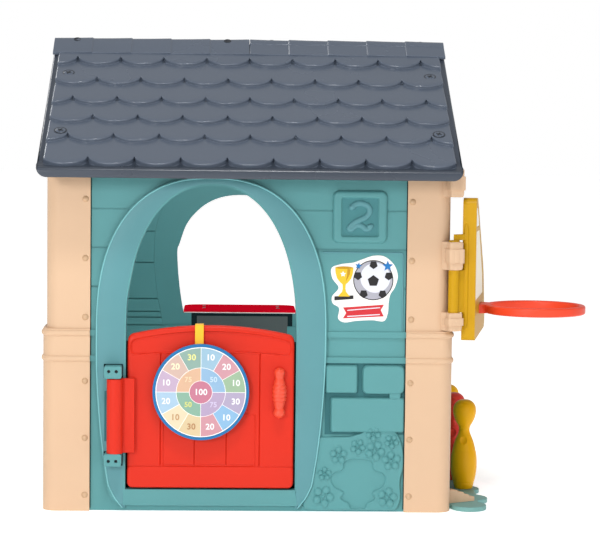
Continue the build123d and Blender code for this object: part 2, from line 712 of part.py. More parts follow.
def roof_panel():
    """Front roof panel: plate with eave, gable rims and six rows of scalloped shingles."""
    with BuildPart() as panel:
        with BuildSketch(Plane.YZ.offset(-roof_half)):
            with BuildLine():
                Polyline(
                    (0, roof_height(0, shingle_lip)),
                    (-shelf_start, roof_height(shelf_start, shingle_lip)),
                    (-eave_reach, roof_height(eave_reach, eave_drop)),
                    (-eave_reach, eave_bottom),
                    (-eave_reach + eave_thick, eave_bottom),
                    (-eave_reach + eave_thick + 4, roof_height(eave_reach - eave_thick - 4, seat_depth)),
                    (0, roof_height(0, seat_depth)),
                    close=True,
                )
            make_face()
        extrude(amount=roof_width)
        # gable rims
        rim_start = cap_reach * cos(pitch_angle) + 1
        for side in (-1, 1):
            rim_left = min(side * roof_half, side * shingle_field)
            with BuildSketch(Plane.YZ.offset(rim_left)):
                with BuildLine():
                    Polyline(
                        (-rim_start, roof_height(rim_start, gable_rim_drop)),
                        (-eave_reach, roof_height(eave_reach, gable_rim_drop)),
                        (-eave_reach, roof_height(eave_reach, shingle_lip)),
                        (-rim_start, roof_height(rim_start, shingle_lip + 1)),
                        close=True,
                    )
                make_face()
            extrude(amount=gable_rim_width)
        # shingle rows, each a plate whose lower edge stands proud
        upper_edge = cap_reach + 9
        for row, lower_edge in enumerate(shingle_rows):
            lip = eave_shingle_lip if row == len(shingle_rows) - 1 else shingle_lip
            run = lower_edge - upper_edge
            lean = atan2(shingle_lip, run + shingle_sag)
            shift = shingle_pitch / 2 if (len(shingle_rows) - row) % 2 == 0 else 0
            reach = lower_edge * cos(pitch_angle)
            with BuildSketch(slope_plane(reach, -1, lean=lean)):
                for column in range(-shingle_columns // 2, shingle_columns // 2 + 2):
                    with Locations((column * shingle_pitch + shift, shingle_radius)):
                        Circle(shingle_radius)
                with Locations((0, (run + shingle_sag) / 2)):
                    Rectangle(2 * shingle_field, run - shingle_sag)
                with Locations((0, run / 2)):
                    Rectangle(2 * shingle_field, run, mode=Mode.INTERSECT)
            extrude(amount=-lip)
            upper_edge = max(lower_edge - shingle_sag, cap_reach + 9)
        # rounded lower corners of the eave
        with BuildSketch(Plane.XZ.offset(eave_reach)):
            for side in (-1, 1):
                corner = side * roof_half
                inner = side * (roof_half - eave_corner_round)
                with BuildLine():
                    ThreePointArc(
                        (inner, eave_bottom),
                        (corner - side * eave_corner_round * 0.293, eave_bottom + eave_corner_round * 0.293),
                        (corner, eave_bottom + eave_corner_round),
                    )
                    Polyline((corner, eave_bottom + eave_corner_round), (corner, eave_bottom), (inner, eave_bottom))
                make_face()
        extrude(amount=-(eave_thick + 5), mode=Mode.SUBTRACT)
        # screw recesses
        for reach in roof_screw_y:
            with BuildSketch(slope_plane(reach, -1)):
                with Locations([(-roof_screw_x, 0), (roof_screw_x, 0)]):
                    Circle(roof_screw_recess)
            extrude(amount=-(roof_screw_sink + roof_screw_head_thick), mode=Mode.SUBTRACT)
            with BuildSketch(slope_plane(reach, -1)):
                with Locations([(-roof_screw_x, 0), (roof_screw_x, 0)]):
                    Circle(roof_screw_shank + screw_clearance)
            extrude(amount=-(seat_depth + 2), mode=Mode.SUBTRACT)
    return panel.part


front_panel_blank = roof_panel()
back_panel_blank = mirror(front_panel_blank, about=Plane.XZ)
for side, blank, panel_name in ((-1, front_panel_blank, "roof_front"), (1, back_panel_blank, "roof_back")):
    with BuildPart() as roof_side:
        add(blank)
        with BuildSketch(slope_plane(cap_screw_reach, side)):
            with Locations(cap_screw_spots):
                Circle(cap_screw_radius + screw_clearance)
        extrude(amount=-(seat_depth + 8), mode=Mode.SUBTRACT)
    finish(roof_side.part, panel_name)

with BuildPart() as roof_screws:
    for side in (-1, 1):
        for reach in roof_screw_y:
            seat = slope_plane(reach, side, depth=roof_screw_sink + roof_screw_head_thick)
            with BuildSketch(seat):
                with Locations([(-roof_screw_x, 0), (roof_screw_x, 0)]):
                    Circle(roof_screw_head)
            extrude(amount=roof_screw_head_thick)
            with BuildSketch(seat):
                with Locations([(-roof_screw_x, 0), (roof_screw_x, 0)]):
                    Circle(roof_screw_shank)
            extrude(amount=-(roof_screw_length - roof_screw_head_thick))
finish(roof_screws.part, "roof_screws")

# ------------------------------------------------------------------ ridge cap
cap_run = cap_reach * cos(pitch_angle)
cap_half_length = roof_half + cap_side_reach
cap_tile = cap_half_length / cap_tiles


cap_steps = [(0, cap_half_length, cap_rise - cap_tile_drop)]
cap_steps += [(tile * cap_tile, cap_collar, cap_rise) for tile in range(cap_tiles)]
with BuildPart() as ridge_cap_right:
    for start, length, rise in cap_steps:
        with BuildSketch(Plane.YZ.offset(start)):
            with BuildLine():
                Polyline(
                    (-cap_run, roof_height(cap_run, -rise)),
                    (0, roof_height(0, -rise)),
                    (cap_run, roof_height(cap_run, -rise)),
                    (cap_run, roof_height(cap_run, shingle_lip)),
                    (0, roof_height(0, shingle_lip)),
                    (-cap_run, roof_height(cap_run, shingle_lip)),
                    close=True,
                )
            make_face()
        extrude(amount=length)
    with BuildSketch(slope_plane(cap_screw_reach, 1, depth=cap_recess_depth)):
        with Locations(cap_screw_spots):
            Circle(cap_recess_radius)
    extrude(amount=cap_recess_depth * 2, mode=Mode.SUBTRACT)
    with BuildSketch(slope_plane(cap_screw_reach, 1, depth=cap_recess_depth)):
        with Locations(cap_screw_spots):
            Circle(cap_screw_radius + screw_clearance)
    extrude(amount=-shingle_lip * 2, mode=Mode.SUBTRACT)
finish(ridge_cap_right.part, "ridge_cap_right")
finish(ridge_cap_right.part.rotate(Axis.Z, 180), "ridge_cap_left")

with BuildPart() as ridge_screws:
    for side in (-1, 1):
        with BuildSketch(slope_plane(cap_screw_reach, side, depth=cap_recess_depth)):
            with Locations(cap_screw_spots):
                Circle(cap_screw_head_radius)
        extrude(amount=cap_screw_head_thick)
        with BuildSketch(slope_plane(cap_screw_reach, side, depth=cap_recess_depth)):
            with Locations(cap_screw_spots):
                Circle(cap_screw_radius)
        extrude(amount=-cap_screw_length)
finish(ridge_screws.part, "ridge_screws")

# ------------------------------------------------------------------ half door
with BuildPart() as door_leaf:
    with BuildSketch(Plane.XZ.offset(door_front)) as leaf_outline:
        with BuildLine():
            ThreePointArc(
                (door_right, door_side_height),
                (arch_x, door_top_height),
                (door_left, door_side_height),
            )
            Polyline(
                (door_left, door_side_height),
                (door_left, door_bottom),
                (door_right, door_bottom),
                (door_right, door_side_height),
            )
        make_face()
        fillet(leaf_outline.vertices(), radius=door_corner)
    extrude(amount=-door_thick)
    with BuildSketch(Plane.XZ.offset(door_front)):
        with Locations(((door_left + door_right) / 2, (door_kick[0] + door_kick[1]) / 2)):
            kick_width = door_right - door_left - 2 * door_kick_inset
            RectangleRounded(kick_width, door_kick[1] - door_kick[0] - 4, door_corner)
    extrude(amount=door_kick_proud)
    with BuildSketch(Plane.XZ.offset(door_front)):
        for x in door_lines_x:
            with Locations((x, (door_lines_z[0] + door_lines_z[1]) / 2)):
                Rectangle(groove_width, door_lines_z[1] - door_lines_z[0])
        with Locations(((door_panel_x[0] + door_panel_x[1]) / 2, (door_panel_z[0] + door_panel_z[1]) / 2)):
            Rectangle(door_panel_x[1] - door_panel_x[0], door_panel_z[1] - door_panel_z[0])
            panel_inner = door_panel_x[1] - door_panel_x[0] - 2 * groove_width
            panel_rise = door_panel_z[1] - door_panel_z[0] - 2 * groove_width
            Rectangle(panel_inner, panel_rise, mode=Mode.SUBTRACT)
    extrude(amount=-door_groove, mode=Mode.SUBTRACT)
    with BuildSketch(Plane.XZ.offset(door_front)):
        with Locations([(grip_x, z) for z in grip_screw_z]):
            Circle(grip_screw_radius + screw_clearance)
    extrude(amount=-door_thick, mode=Mode.SUBTRACT)
finish(door_leaf.part, "door_leaf")

with BuildPart() as hinge_knuckle:
    with BuildSketch(Plane.XY.offset(hinge_barrel[0])):
        with Locations((hinge_x, hinge_y)):
            Circle(hinge_barrel_radius)
        flange_back = -(arch_face + hinge_flange_gap)
        flange_front = flange_back - hinge_flange_thick
        with Locations(((hinge_x + hinge_flange_end) / 2, (flange_back + flange_front) / 2)):
            Rectangle(hinge_flange_end - hinge_x, hinge_flange_thick)
        with Locations(((hinge_foot_start + hinge_flange_end) / 2, (flange_front - door_front) / 2)):
            Rectangle(hinge_flange_end - hinge_foot_start, -door_front - flange_front)
        with Locations((hinge_x, hinge_y)):
            Circle(hinge_pin_radius + hinge_running, mode=Mode.SUBTRACT)
    extrude(amount=hinge_barrel[1] - hinge_barrel[0])
finish(hinge_knuckle.part, "hinge_knuckle")

block_front = -(arch_face + hinge_block_proud)
block_specs = (
    ("hinge_block_lower", block_bottoms[0], lower_screw_z, (-1, block_bottoms[0] + hinge_block_height)),
    ("hinge_block_upper", block_bottoms[1], upper_screw_z, (1, block_bottoms[1])),
)
for block_name, block_low, screw_z, (bite_side, mouth) in block_specs:
    with BuildPart() as hinge_block:
        with BuildSketch(Plane.XZ.offset(arch_face)):
            with Locations(((hinge_block_x[0] + hinge_block_x[1]) / 2, block_low + hinge_block_height / 2)):
                RectangleRounded(hinge_block_x[1] - hinge_block_x[0], hinge_block_height, 5)
        extrude(amount=hinge_block_proud)
        with BuildSketch(Plane.XY.offset(mouth)):
            with Locations((hinge_x, hinge_y)):
                Circle(hinge_pin_radius + hinge_running)
        extrude(amount=bite_side * (hinge_pin_bite + 0.5), mode=Mode.SUBTRACT)
        with BuildSketch(Plane.XZ.offset(arch_face + hinge_block_proud)):
            with Locations([(x, screw_z) for x in hinge_screw_x]):
                Circle(hinge_screw_head + screw_clearance)
        extrude(amount=-hinge_screw_sink, mode=Mode.SUBTRACT)
        with BuildSketch(Plane.XZ.offset(arch_face + hinge_block_proud)):
            with Locations([(x, screw_z) for x in hinge_screw_x]):
                Circle(hinge_screw_shank + screw_clearance)
        extrude(amount=-hinge_block_proud, mode=Mode.SUBTRACT)
    finish(hinge_block.part, block_name)

with BuildPart() as hinge_block_screws:
    with BuildSketch(Plane.XZ.offset(arch_face + hinge_block_proud - hinge_screw_sink)):
        with Locations(hinge_screw_spots):
            Circle(hinge_screw_head)
    extrude(amount=3)
    with BuildSketch(Plane.XZ.offset(arch_face + hinge_block_proud - hinge_screw_sink)):
        with Locations(hinge_screw_spots):
            Circle(hinge_screw_shank)
    extrude(amount=-hinge_screw_length)
finish(hinge_block_screws.part, "hinge_block_screws")

with BuildPart() as door_hinge_pin:
    pin_foot = hinge_barrel[0] - hinge_seat - hinge_pin_bite
    pin_head = hinge_barrel[1] + 2 + hinge_pin_bite
    with BuildSketch(Plane.XY.offset(pin_foot)):
        with Locations((hinge_x, hinge_y)):
            Circle(hinge_pin_radius)
    extrude(amount=pin_head - pin_foot)
finish(door_hinge_pin.part, "door_hinge_pin")

with BuildPart() as door_grip:
    grip_low, grip_high = grip_z
    grip_plane = Plane((grip_x, -(door_front + grip_axis_proud), 0), x_dir=(1, 0, 0), z_dir=(0, -1, 0))
    with BuildSketch(grip_plane):
        with BuildLine():
            Line((0, grip_low), (grip_end_radius * 0.6, grip_low))
            Spline(
                (grip_end_radius * 0.6, grip_low),
                (grip_end_radius, grip_low + 12),
                (grip_neck_radius, grip_low + 30),
                (grip_radius, grip_low + 56),
                (grip_radius * 0.9, grip_high - 44),
                (grip_neck_radius, grip_high - 26),
                (grip_end_radius, grip_high - 12),
                (grip_end_radius * 0.6, grip_high),
            )
            Polyline((grip_end_radius * 0.6, grip_high), (0, grip_high), (0, grip_low))
        make_face()
    revolve(axis=Axis((grip_x, -(door_front + grip_axis_proud), 0), (0, 0, 1)))
    split(bisect_by=Plane.XZ.offset(door_front), keep=Keep.TOP)
    with BuildSketch(Plane.XZ.offset(door_front)):
        with Locations([(grip_x, z) for z in grip_screw_z]):
            Circle(grip_screw_radius + screw_clearance)
    extrude(amount=11, mode=Mode.SUBTRACT)
finish(door_grip.part, "door_grip")

with BuildPart() as grip_screws:
    with BuildSketch(Plane.XZ.offset(door_back)):
        with Locations([(grip_x, z) for z in grip_screw_z]):
            Circle(2 * grip_screw_radius)
    extrude(amount=-2)
    with BuildSketch(Plane.XZ.offset(door_back)):
        with Locations([(grip_x, z) for z in grip_screw_z]):
            Circle(grip_screw_radius)
    extrude(amount=door_thick + 10)
finish(grip_screws.part, "grip_screws")

# ------------------------------------------------------------------ dartboard
tray_back = door_front + dart_stand_off
tray_front = tray_back + dart_tray_thick
with BuildPart() as dart_tray:
    with BuildSketch(Plane.XZ.offset(tray_back)):
        with Locations((dart_x, dart_z)):
            Circle(dart_radius)
    extrude(amount=dart_tray_thick)
    with BuildSketch(Plane.XZ.offset(tray_front)):
        with Locations((dart_x, dart_z)):
            Circle(dart_radius)
            Circle(dart_radius - dart_rim, mode=Mode.SUBTRACT)
    extrude(amount=dart_rim_proud)
    with BuildSketch(Plane.XZ.offset(tray_back)):
        with Locations((dart_x, dart_z - dart_bumper_drop)):
            Rectangle(*dart_bumper)
    extrude(amount=-(dart_stand_off - dart_bumper_gap))
finish(dart_tray.part, "dart_tray")

with BuildPart() as dart_sheet:
    with BuildSketch(Plane.XZ.offset(tray_front)):
        with Locations((dart_x, dart_z)):
            Circle(dart_radius - dart_rim - dart_sheet_gap)
    extrude(amount=dart_sheet_thick)
finish(dart_sheet.part, "dart_sheet")

strap_crest = door_top_height + strap_top_gap
with BuildPart() as dart_strap:
    with BuildSketch(Plane.YZ.offset(strap_x - strap_width / 2)):
        with BuildLine():
            leg_front = -(door_front + strap_front_gap)
            leg_back = -(door_back - strap_back_gap)
            pad_low = dart_z + dart_radius - strap_pad_height
            pad_high = dart_z + dart_radius - 4
            Polyline(
                (leg_front, pad_low),
                (leg_front, strap_crest),
                (leg_back, strap_crest),
                (leg_back, strap_crest - strap_back_leg),
                (leg_back + strap_thick, strap_crest - strap_back_leg),
                (leg_back + strap_thick, strap_crest + strap_thick),
                (leg_front - strap_thick, strap_crest + strap_thick),
                (leg_front - strap_thick, pad_high),
                (-tray_back, pad_high),
                (-tray_back, pad_low),
                close=True,
            )
        make_face()
    extrude(amount=strap_width)
finish(dart_strap.part, "dart_strap")

# ------------------------------------------------------------------ hoop board
board_face = board_back + board_thick


def pivot_section(height):
    """Plane across the pivot at a height, x along the board and y towards its back."""
    return Plane((pivot_x, pivot_y, height), x_dir=along, z_dir=(0, 0, 1))


with BuildPart() as hoop_board:
    with BuildSketch(board_plane.offset(board_back)) as board_outline:
        with BuildLine():
            Polyline(
                (board_near, board_bottom),
                (board_near, board_top),
                (board_crown, board_top),
                board_shoulder,
                (board_far, board_bottom),
                close=True,
            )
        make_face()
        near_corner = board_outline.vertices().group_by(Axis.Y)[-1].sort_by(Axis.X)[0]
        fillet(near_corner, radius=20)
        crown_corner = board_outline.vertices().group_by(Axis.Y)[-1].sort_by(Axis.X)[-1]
        fillet(crown_corner, radius=36)
        shoulder = [v for v in board_outline.vertices() if abs(v.X - board_shoulder[0]) < 1]
        fillet(shoulder, radius=150)
        fillet(board_outline.vertices().group_by(Axis.Y)[0].sort_by(Axis.X)[-1], radius=24)
        fillet(board_outline.vertices().group_by(Axis.Y)[0].sort_by(Axis.X)[0], radius=10)
    extrude(amount=board_thick)
    # sunk fields for the two face sheets
    with BuildSketch(board_plane.offset(board_face)):
        with BuildLine():
            main_field = (
                (sheet_near, sheet_bottom),
                (sheet_near, sheet_split[0]),
                (150, sheet_split[0]),
                (292, 592),
                (312, sheet_bottom),
            )
            Polyline(*main_field, close=True)
        make_face()
        with BuildLine():
            top_field = (
                (sheet_near, sheet_split[1]),
                (sheet_near, 777),
                (72, 777),
                (136, sheet_split[1]),
            )
            Polyline(*top_field, close=True)
        make_face()
    extrude(amount=-sheet_sink, mode=Mode.SUBTRACT)
    # pivot rod, its web and the top tab
    with BuildSketch(Plane.XY.offset(rod_bottom)):
        with Locations((pivot_x, pivot_y)):
            Circle(rod_radius)
    extrude(amount=rod_top - rod_bottom)
    web_low = clip_centres[0] + clip_heights[0] / 2 + hinge_seat
    web_high = clip_centres[1] - clip_heights[1] / 2 - 1
    for low, high in ((web_low, web_high), (rod_top, tab_top)):
        with BuildSketch(pivot_section(low)):
            with BuildLine():
                Polyline(
                    (-2, -web_thick / 2),
                    (-2, web_thick / 2 - 4),
                    (board_near + 8, -board_back - 2),
                    (board_near + 8, -board_back - web_thick - 4),
                    (board_near, -board_back - web_thick),
                    close=True,
                )
            make_face()
        extrude(amount=high - low)
    # screw holes for the ring
    ring_middle = (ring_z[0] + ring_z[1]) / 2
    ring_screw_spots = [(ring_centre - ring_screw_half, ring_middle), (ring_centre + ring_screw_half, ring_middle)]
    with BuildSketch(board_plane.offset(board_back)):
        with Locations(ring_screw_spots):
            Circle(ring_screw_radius + screw_clearance)
    extrude(amount=board_thick, mode=Mode.SUBTRACT)
finish(hoop_board.part, "hoop_board")

for sheet_name, field in (("board_sheet_lower", main_field), ("board_sheet_upper", top_field)):
    with BuildPart() as board_sheet:
        with BuildSketch(board_plane.offset(board_face - sheet_sink)) as sheet_outline:
            with BuildLine():
                Polyline(*field, close=True)
            make_face()
            offset(amount=-sheet_gap)
        extrude(amount=sheet_thick)
    finish(board_sheet.part, sheet_name)

ring_axis_out = board_face + ring_gap + ring_outer
with BuildPart() as hoop_ring:
    with BuildSketch(pivot_section(ring_z[0])):
        with Locations((ring_centre, -ring_axis_out)):
            Circle(ring_outer)
        with BuildLine():
            Polyline(
                (ring_centre - ring_bracket_half, -board_face),
                (ring_centre + ring_bracket_half, -board_face),
                (ring_centre + ring_bracket_tip, -board_face - ring_gap - 16),
                (ring_centre - ring_bracket_tip, -board_face - ring_gap - 16),
                close=True,
            )
        make_face()
        with Locations((ring_centre, -ring_axis_out)):
            Circle(ring_outer - ring_wall, mode=Mode.SUBTRACT)
    extrude(amount=ring_z[1] - ring_z[0])
    ring_edges = hoop_ring.edges().filter_by(GeomType.CIRCLE)
    fillet(ring_edges.filter_by(lambda e: e.radius > ring_screw_radius + 1), radius=ring_round)
    with BuildSketch(board_plane.offset(board_face)):
        with Locations(ring_screw_spots):
            Circle(ring_screw_radius + screw_clearance)
    extrude(amount=ring_screw_bite + 1, mode=Mode.SUBTRACT)
finish(hoop_ring.part, "hoop_ring")

with BuildPart() as ring_screws:
    with BuildSketch(board_plane.offset(board_back)):
        with Locations(ring_screw_spots):
            Circle(ring_screw_head)
    extrude(amount=-2.5)
    with BuildSketch(board_plane.offset(board_back)):
        with Locations(ring_screw_spots):
            Circle(ring_screw_radius)
    extrude(amount=board_thick + ring_screw_bite)
finish(ring_screws.part, "ring_screws")

# ------------------------------------------------------------------ snap clips
clip_direction = (cos(radians(clip_turn)), sin(radians(clip_turn)), 0)
clip_bore = rod_radius + rod_running
for clip_name, centre, height, collar in zip(clip_names, clip_centres, clip_heights, clip_collars):
    low = centre - height / 2
    with BuildPart() as snap_clip:
        with BuildSketch(Plane((pivot_x, pivot_y, low), x_dir=clip_direction, z_dir=(0, 0, 1))):
            Circle(clip_bore + clip_wall)
            with Locations((post_round / 2, 0)):
                Rectangle(post_round, clip_saddle)
        extrude(amount=height)
        with BuildSketch(Plane.XY.offset(centre - collar / 2)):
            with Locations((pivot_x, pivot_y)):
                Circle(clip_bore + clip_collar_wall)
            with Locations((pivot_x + clip_nub / 2, pivot_y)):
                Rectangle(clip_nub, 8)
        extrude(amount=collar)
        with BuildSketch(Plane.XY.offset(low)):
            with Locations((post_corner_x, post_corner_y)):
                Circle(post_round + clip_seat)
            with Locations((pivot_x, pivot_y)):
                Circle(clip_bore)
        extrude(amount=height, mode=Mode.SUBTRACT)
        stud_start = Plane((pivot_x, pivot_y, centre), x_dir=(0, 0, 1), z_dir=clip_direction)
        with BuildSketch(stud_start.offset(clip_bore + 2)):
            Circle(clip_stud)
        extrude(amount=post_round - 8)
    finish(snap_clip.part, clip_name)

# ------------------------------------------------------------------ counter behind the window
counter_middle = wall_face + (counter_reach - counter_inside) / 2
counter_base = window_sill + counter_seat
counter_screw_x = [counter_x - support_spacing / 2, counter_x + support_spacing / 2]
counter_screw_spots = [(x, wall_face + reach) for x in counter_screw_x for reach in counter_screw_y]
with BuildPart() as counter:
    with BuildSketch(Plane.XY.offset(counter_base)) as counter_outline:
        with Locations((counter_x, counter_middle)):
            Rectangle(counter_width, counter_reach + counter_inside)
        fillet(counter_outline.vertices().group_by(Axis.Y)[-1], radius=counter_round)
    extrude(amount=counter_thick)
    with BuildSketch(Plane.XY.offset(counter_base)):
        with Locations(counter_screw_spots):
            Circle(counter_screw_radius + screw_clearance)
    extrude(amount=counter_thick, mode=Mode.SUBTRACT)
finish(counter.part, "counter")

for support_name, side in (("counter_support_left", -1), ("counter_support_right", 1)):
    with BuildPart() as support:
        support_x = counter_x + side * support_spacing / 2
        with BuildSketch(Plane.YZ.offset(support_x - support_thick / 2)):
            with BuildLine():
                root = wall_face + belt_proud
                Polyline(
                    (root, counter_base),
                    (wall_face + support_reach, counter_base),
                    (wall_face + support_reach, counter_base - 14),
                    (root + 16, counter_base - support_drop),
                    (root, counter_base - support_drop),
                    close=True,
                )
            make_face()
        extrude(amount=support_thick)
        with BuildSketch(Plane.XY.offset(counter_base)):
            with Locations([(support_x, wall_face + reach) for reach in counter_screw_y]):
                Circle(counter_screw_radius + screw_clearance)
        extrude(amount=-(counter_screw_length - counter_thick + 1), mode=Mode.SUBTRACT)
    finish(support.part, support_name)

with BuildPart() as counter_screws:
    with BuildSketch(Plane.XY.offset(counter_base + counter_thick)):
        with Locations(counter_screw_spots):
            Circle(counter_screw_head)
    extrude(amount=2)
    with BuildSketch(Plane.XY.offset(counter_base + counter_thick)):
        with Locations(counter_screw_spots):
            Circle(counter_screw_radius)
    extrude(amount=-counter_screw_length)
finish(counter_screws.part, "counter_screws")

# ------------------------------------------------------------------ pins and their plate
with BuildPart() as pin_plate:
    web_right, web_front, web_back = plate_web
    plate_left = half_width + plate_gap
    with BuildSketch(Plane.XY):
        with Locations(((plate_left + web_right) / 2, (web_front + web_back) / 2)):
            Rectangle(web_right - plate_left, web_back - web_front)
        for x, y, radius in plate_pads:
            with Locations((x, y)):
                Circle(radius)
        for x, y in pin_spots:
            with Locations((x, y)):
                Circle(pin_pad)
        with Locations(((plate_left + web_right) / 2 - 4, (plate_pads[0][1] + web_front) / 2)):
            Rectangle(web_right - plate_left - 8, web_front - plate_pads[0][1])
    extrude(amount=plate_thick)
    split(bisect_by=Plane.YZ.offset(plate_left), keep=Keep.TOP)
finish(pin_plate.part, "pin_plate")

for pin_name, (x, y) in zip(pin_names, pin_spots):
    with BuildPart() as bowling_pin:
        pin_stand = Plane((x, y, plate_thick), x_dir=(1, 0, 0), z_dir=(0, -1, 0))
        with BuildSketch(pin_stand):
            with BuildLine():
                Spline(*pin_profile[:-1], pin_profile[-1], tangents=((0.4, 1), (-1, 0)))
                Polyline(pin_profile[-1], (0, 0), pin_profile[0])
            make_face()
        revolve(axis=Axis((x, y, 0), (0, 0, 1)))
        with BuildSketch(pin_stand):
            with BuildLine():
                inner = [(max(r - pin_skin, 0), z) for r, z in pin_profile[1:-2]]
                inner_top = (0, pin_height - pin_skin * 2)
                Spline(*inner, inner_top, tangents=((0.4, 1), (-1, 0)))
                Polyline(inner_top, (0, inner[0][1]), inner[0])
            make_face()
        revolve(axis=Axis((x, y, 0), (0, 0, 1)), mode=Mode.SUBTRACT)
    finish(bowling_pin.part, pin_name)

# ------------------------------------------------------------------ foot wedge
wedge_plane = Plane(
    (half_width, wedge_root_y, 0),
    x_dir=(cos(radians(wedge_angle)), sin(radians(wedge_angle)), 0),
    z_dir=(sin(radians(wedge_angle)), -cos(radians(wedge_angle)), 0),
)
with BuildPart() as foot_wedge:
    with BuildSketch(wedge_plane.offset(-wedge_width / 2)):
        with BuildLine():
            steps = [(-20, wedge_steps[0][1])]
            for (start, tall), (end, lower) in zip(wedge_steps, wedge_steps[1:]):
                steps.append((end, tall - (tall - lower) / 3))
                steps.append((end, lower))
            steps.append((wedge_steps[-1][0], plate_thick))
            steps.append((-20, plate_thick))
            Polyline(*steps, close=True)
        make_face()
    extrude(amount=wedge_width)
    split(bisect_by=Plane.YZ.offset(half_width), keep=Keep.TOP)
    with BuildSketch(Plane.YZ.offset(half_width)):
        with Locations((wedge_stud_y, wedge_stud_height)):
            Circle(wedge_stud)
    extrude(amount=-(post_wall + 2))
finish(foot_wedge.part, "foot_wedge")
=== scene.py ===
import json
import math
import bmesh
import bpy
import numpy as np
from mathutils import Matrix, Vector


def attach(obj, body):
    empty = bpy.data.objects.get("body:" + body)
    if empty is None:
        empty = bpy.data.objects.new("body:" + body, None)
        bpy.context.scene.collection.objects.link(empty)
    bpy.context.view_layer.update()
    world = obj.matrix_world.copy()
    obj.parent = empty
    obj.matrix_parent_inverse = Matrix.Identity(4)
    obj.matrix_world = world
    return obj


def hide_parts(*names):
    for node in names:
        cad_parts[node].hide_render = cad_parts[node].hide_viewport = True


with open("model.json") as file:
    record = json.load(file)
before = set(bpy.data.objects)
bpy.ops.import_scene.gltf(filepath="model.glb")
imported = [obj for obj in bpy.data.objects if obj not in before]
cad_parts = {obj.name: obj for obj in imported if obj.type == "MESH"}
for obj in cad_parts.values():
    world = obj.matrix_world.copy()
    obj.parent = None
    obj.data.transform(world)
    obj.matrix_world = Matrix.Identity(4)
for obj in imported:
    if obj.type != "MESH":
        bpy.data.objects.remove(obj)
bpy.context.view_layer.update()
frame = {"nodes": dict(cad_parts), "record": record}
nodes = frame["nodes"]
bodyOf = {n: b for b, members in frame["record"]["behaviour"]["bodies"].items() for n in members}
mm = 0.001
print("frame loaded:", len(nodes), "nodes")


# ---- colours and finishes

def rgb(red, green, blue):
    # display colour 0 to 255, turned to linear light
    values = np.array([red, green, blue]) / 255
    return tuple(np.where(values <= 0.04045, values / 12.92, ((values + 0.055) / 1.055) ** 2.4)) + (1.0,)


plastics = {
    # name: colour, roughness, how much the colour drifts, grain height, grain scale, gloss level
    "slateRoof": ((84, 93, 107), 0.24, 0.05, 0.05, 900, 0.50),
    # the next finish is the roof's slate made darker for the eave and the plate under the shingles: painted shade
    "slateEaveShade": ((56, 63, 74), 0.27, 0.05, 0.05, 900, 0.45),
    "tealWall": ((86, 145, 147), 0.44, 0.05, 0.08, 800, 0.28),
    "tealArch": ((86, 140, 146), 0.42, 0.05, 0.08, 800, 0.30),
    # the next finish is a lighter teal for the arch's edge line: painted highlight
    "tealHighlight": ((122, 184, 188), 0.40, 0.04, 0.05, 800, 0.30),
    # the next finish is a darker teal for behind the bricks and beside the hinge: painted shade
    "tealShade": ((58, 108, 112), 0.50, 0.05, 0.08, 800, 0.10),
    "gapShade": ((28, 44, 48), 0.70, 0.05, 0.05, 800, 0.0),
    # the next finish is a darker teal for the plaque's sunk field: painted shade
    "tealFieldShade": ((70, 128, 132), 0.46, 0.05, 0.08, 800, 0.20),
    "panelGrey": ((88, 96, 96), 0.55, 0.06, 0.08, 800, 0.10),
    "tealPlate": ((112, 160, 156), 0.46, 0.05, 0.08, 800, 0.28),
    "beigePost": ((207, 174, 143), 0.45, 0.04, 0.07, 850, 0.25),
    # the next finish is darker than the posts' beige: painted shade that makes the rivets stand out
    "rivetShadeTan": ((192, 158, 124), 0.40, 0.04, 0.05, 850, 0.45),
    "redDoor": ((206, 40, 18), 0.42, 0.05, 0.07, 850, 0.22),
    "redGrip": ((226, 70, 42), 0.34, 0.03, 0.03, 850, 0.50),
    "redRing": ((232, 70, 40), 0.38, 0.03, 0.04, 850, 0.30),
    "redPin": ((222, 52, 34), 0.36, 0.03, 0.03, 850, 0.40),
    "crimsonTray": ((232, 10, 38), 0.60, 0.03, 0.05, 850, 0.0),
    "yellowBoard": ((190, 144, 2), 0.40, 0.05, 0.06, 850, 0.20),
    "yellowPin": ((240, 176, 0), 0.32, 0.04, 0.03, 850, 0.20),
    "yellowStrap": ((246, 184, 44), 0.42, 0.03, 0.04, 850, 0.25),
    "blueRim": ((24, 108, 164), 0.35, 0.03, 0.03, 850, 0.30),
    "whiteSheet": ((240, 239, 234), 0.34, 0.02, 0.01, 400, 0.30),
    "creamSheet": ((238, 228, 204), 0.34, 0.03, 0.01, 400, 0.30),
    "darkScrew": ((44, 48, 54), 0.45, 0.04, 0.03, 900, 0.30),
    "cupGold": ((226, 184, 44), 0.35, 0.10, 0.01, 400, 0.30),
    "cupShade": ((186, 140, 22), 0.35, 0.06, 0.01, 400, 0.30),
    "printBlack": ((34, 32, 34), 0.35, 0.03, 0.01, 400, 0.30),
    "printGrey": ((164, 164, 174), 0.35, 0.05, 0.01, 400, 0.30),
    "printPale": ((214, 216, 226), 0.35, 0.03, 0.01, 400, 0.30),
    "printRed": ((196, 44, 52), 0.35, 0.04, 0.01, 400, 0.30),
    "printBlue": ((26, 112, 178), 0.35, 0.04, 0.01, 400, 0.30),
}


def newFinish(name):
    finish = bpy.data.materials.new(name)
    finish.use_nodes = True
    return finish, finish.node_tree, finish.node_tree.nodes["Principled BSDF"]


def addNode(tree, kind, feeds=(), **constants):
    # a shader node with its constants; feeds pairs an input with the output that drives it
    made = tree.nodes.new("ShaderNode" + kind)
    for socket, value in constants.items():
        made.inputs[socket.replace("_", " ")].default_value = value
    for socket, source in feeds:
        tree.links.new(source, made.inputs[socket])
    return made


def noiseOf(tree, source, **constants):
    return addNode(tree, "TexNoise", [("Vector", source)], **constants).outputs["Fac"]


def unevenRoughness(tree, shader, source, low, high):
    spread = addNode(tree, "MapRange", [("Value", source)], To_Min=low, To_Max=high)
    tree.links.new(spread.outputs["Result"], shader.inputs["Roughness"])


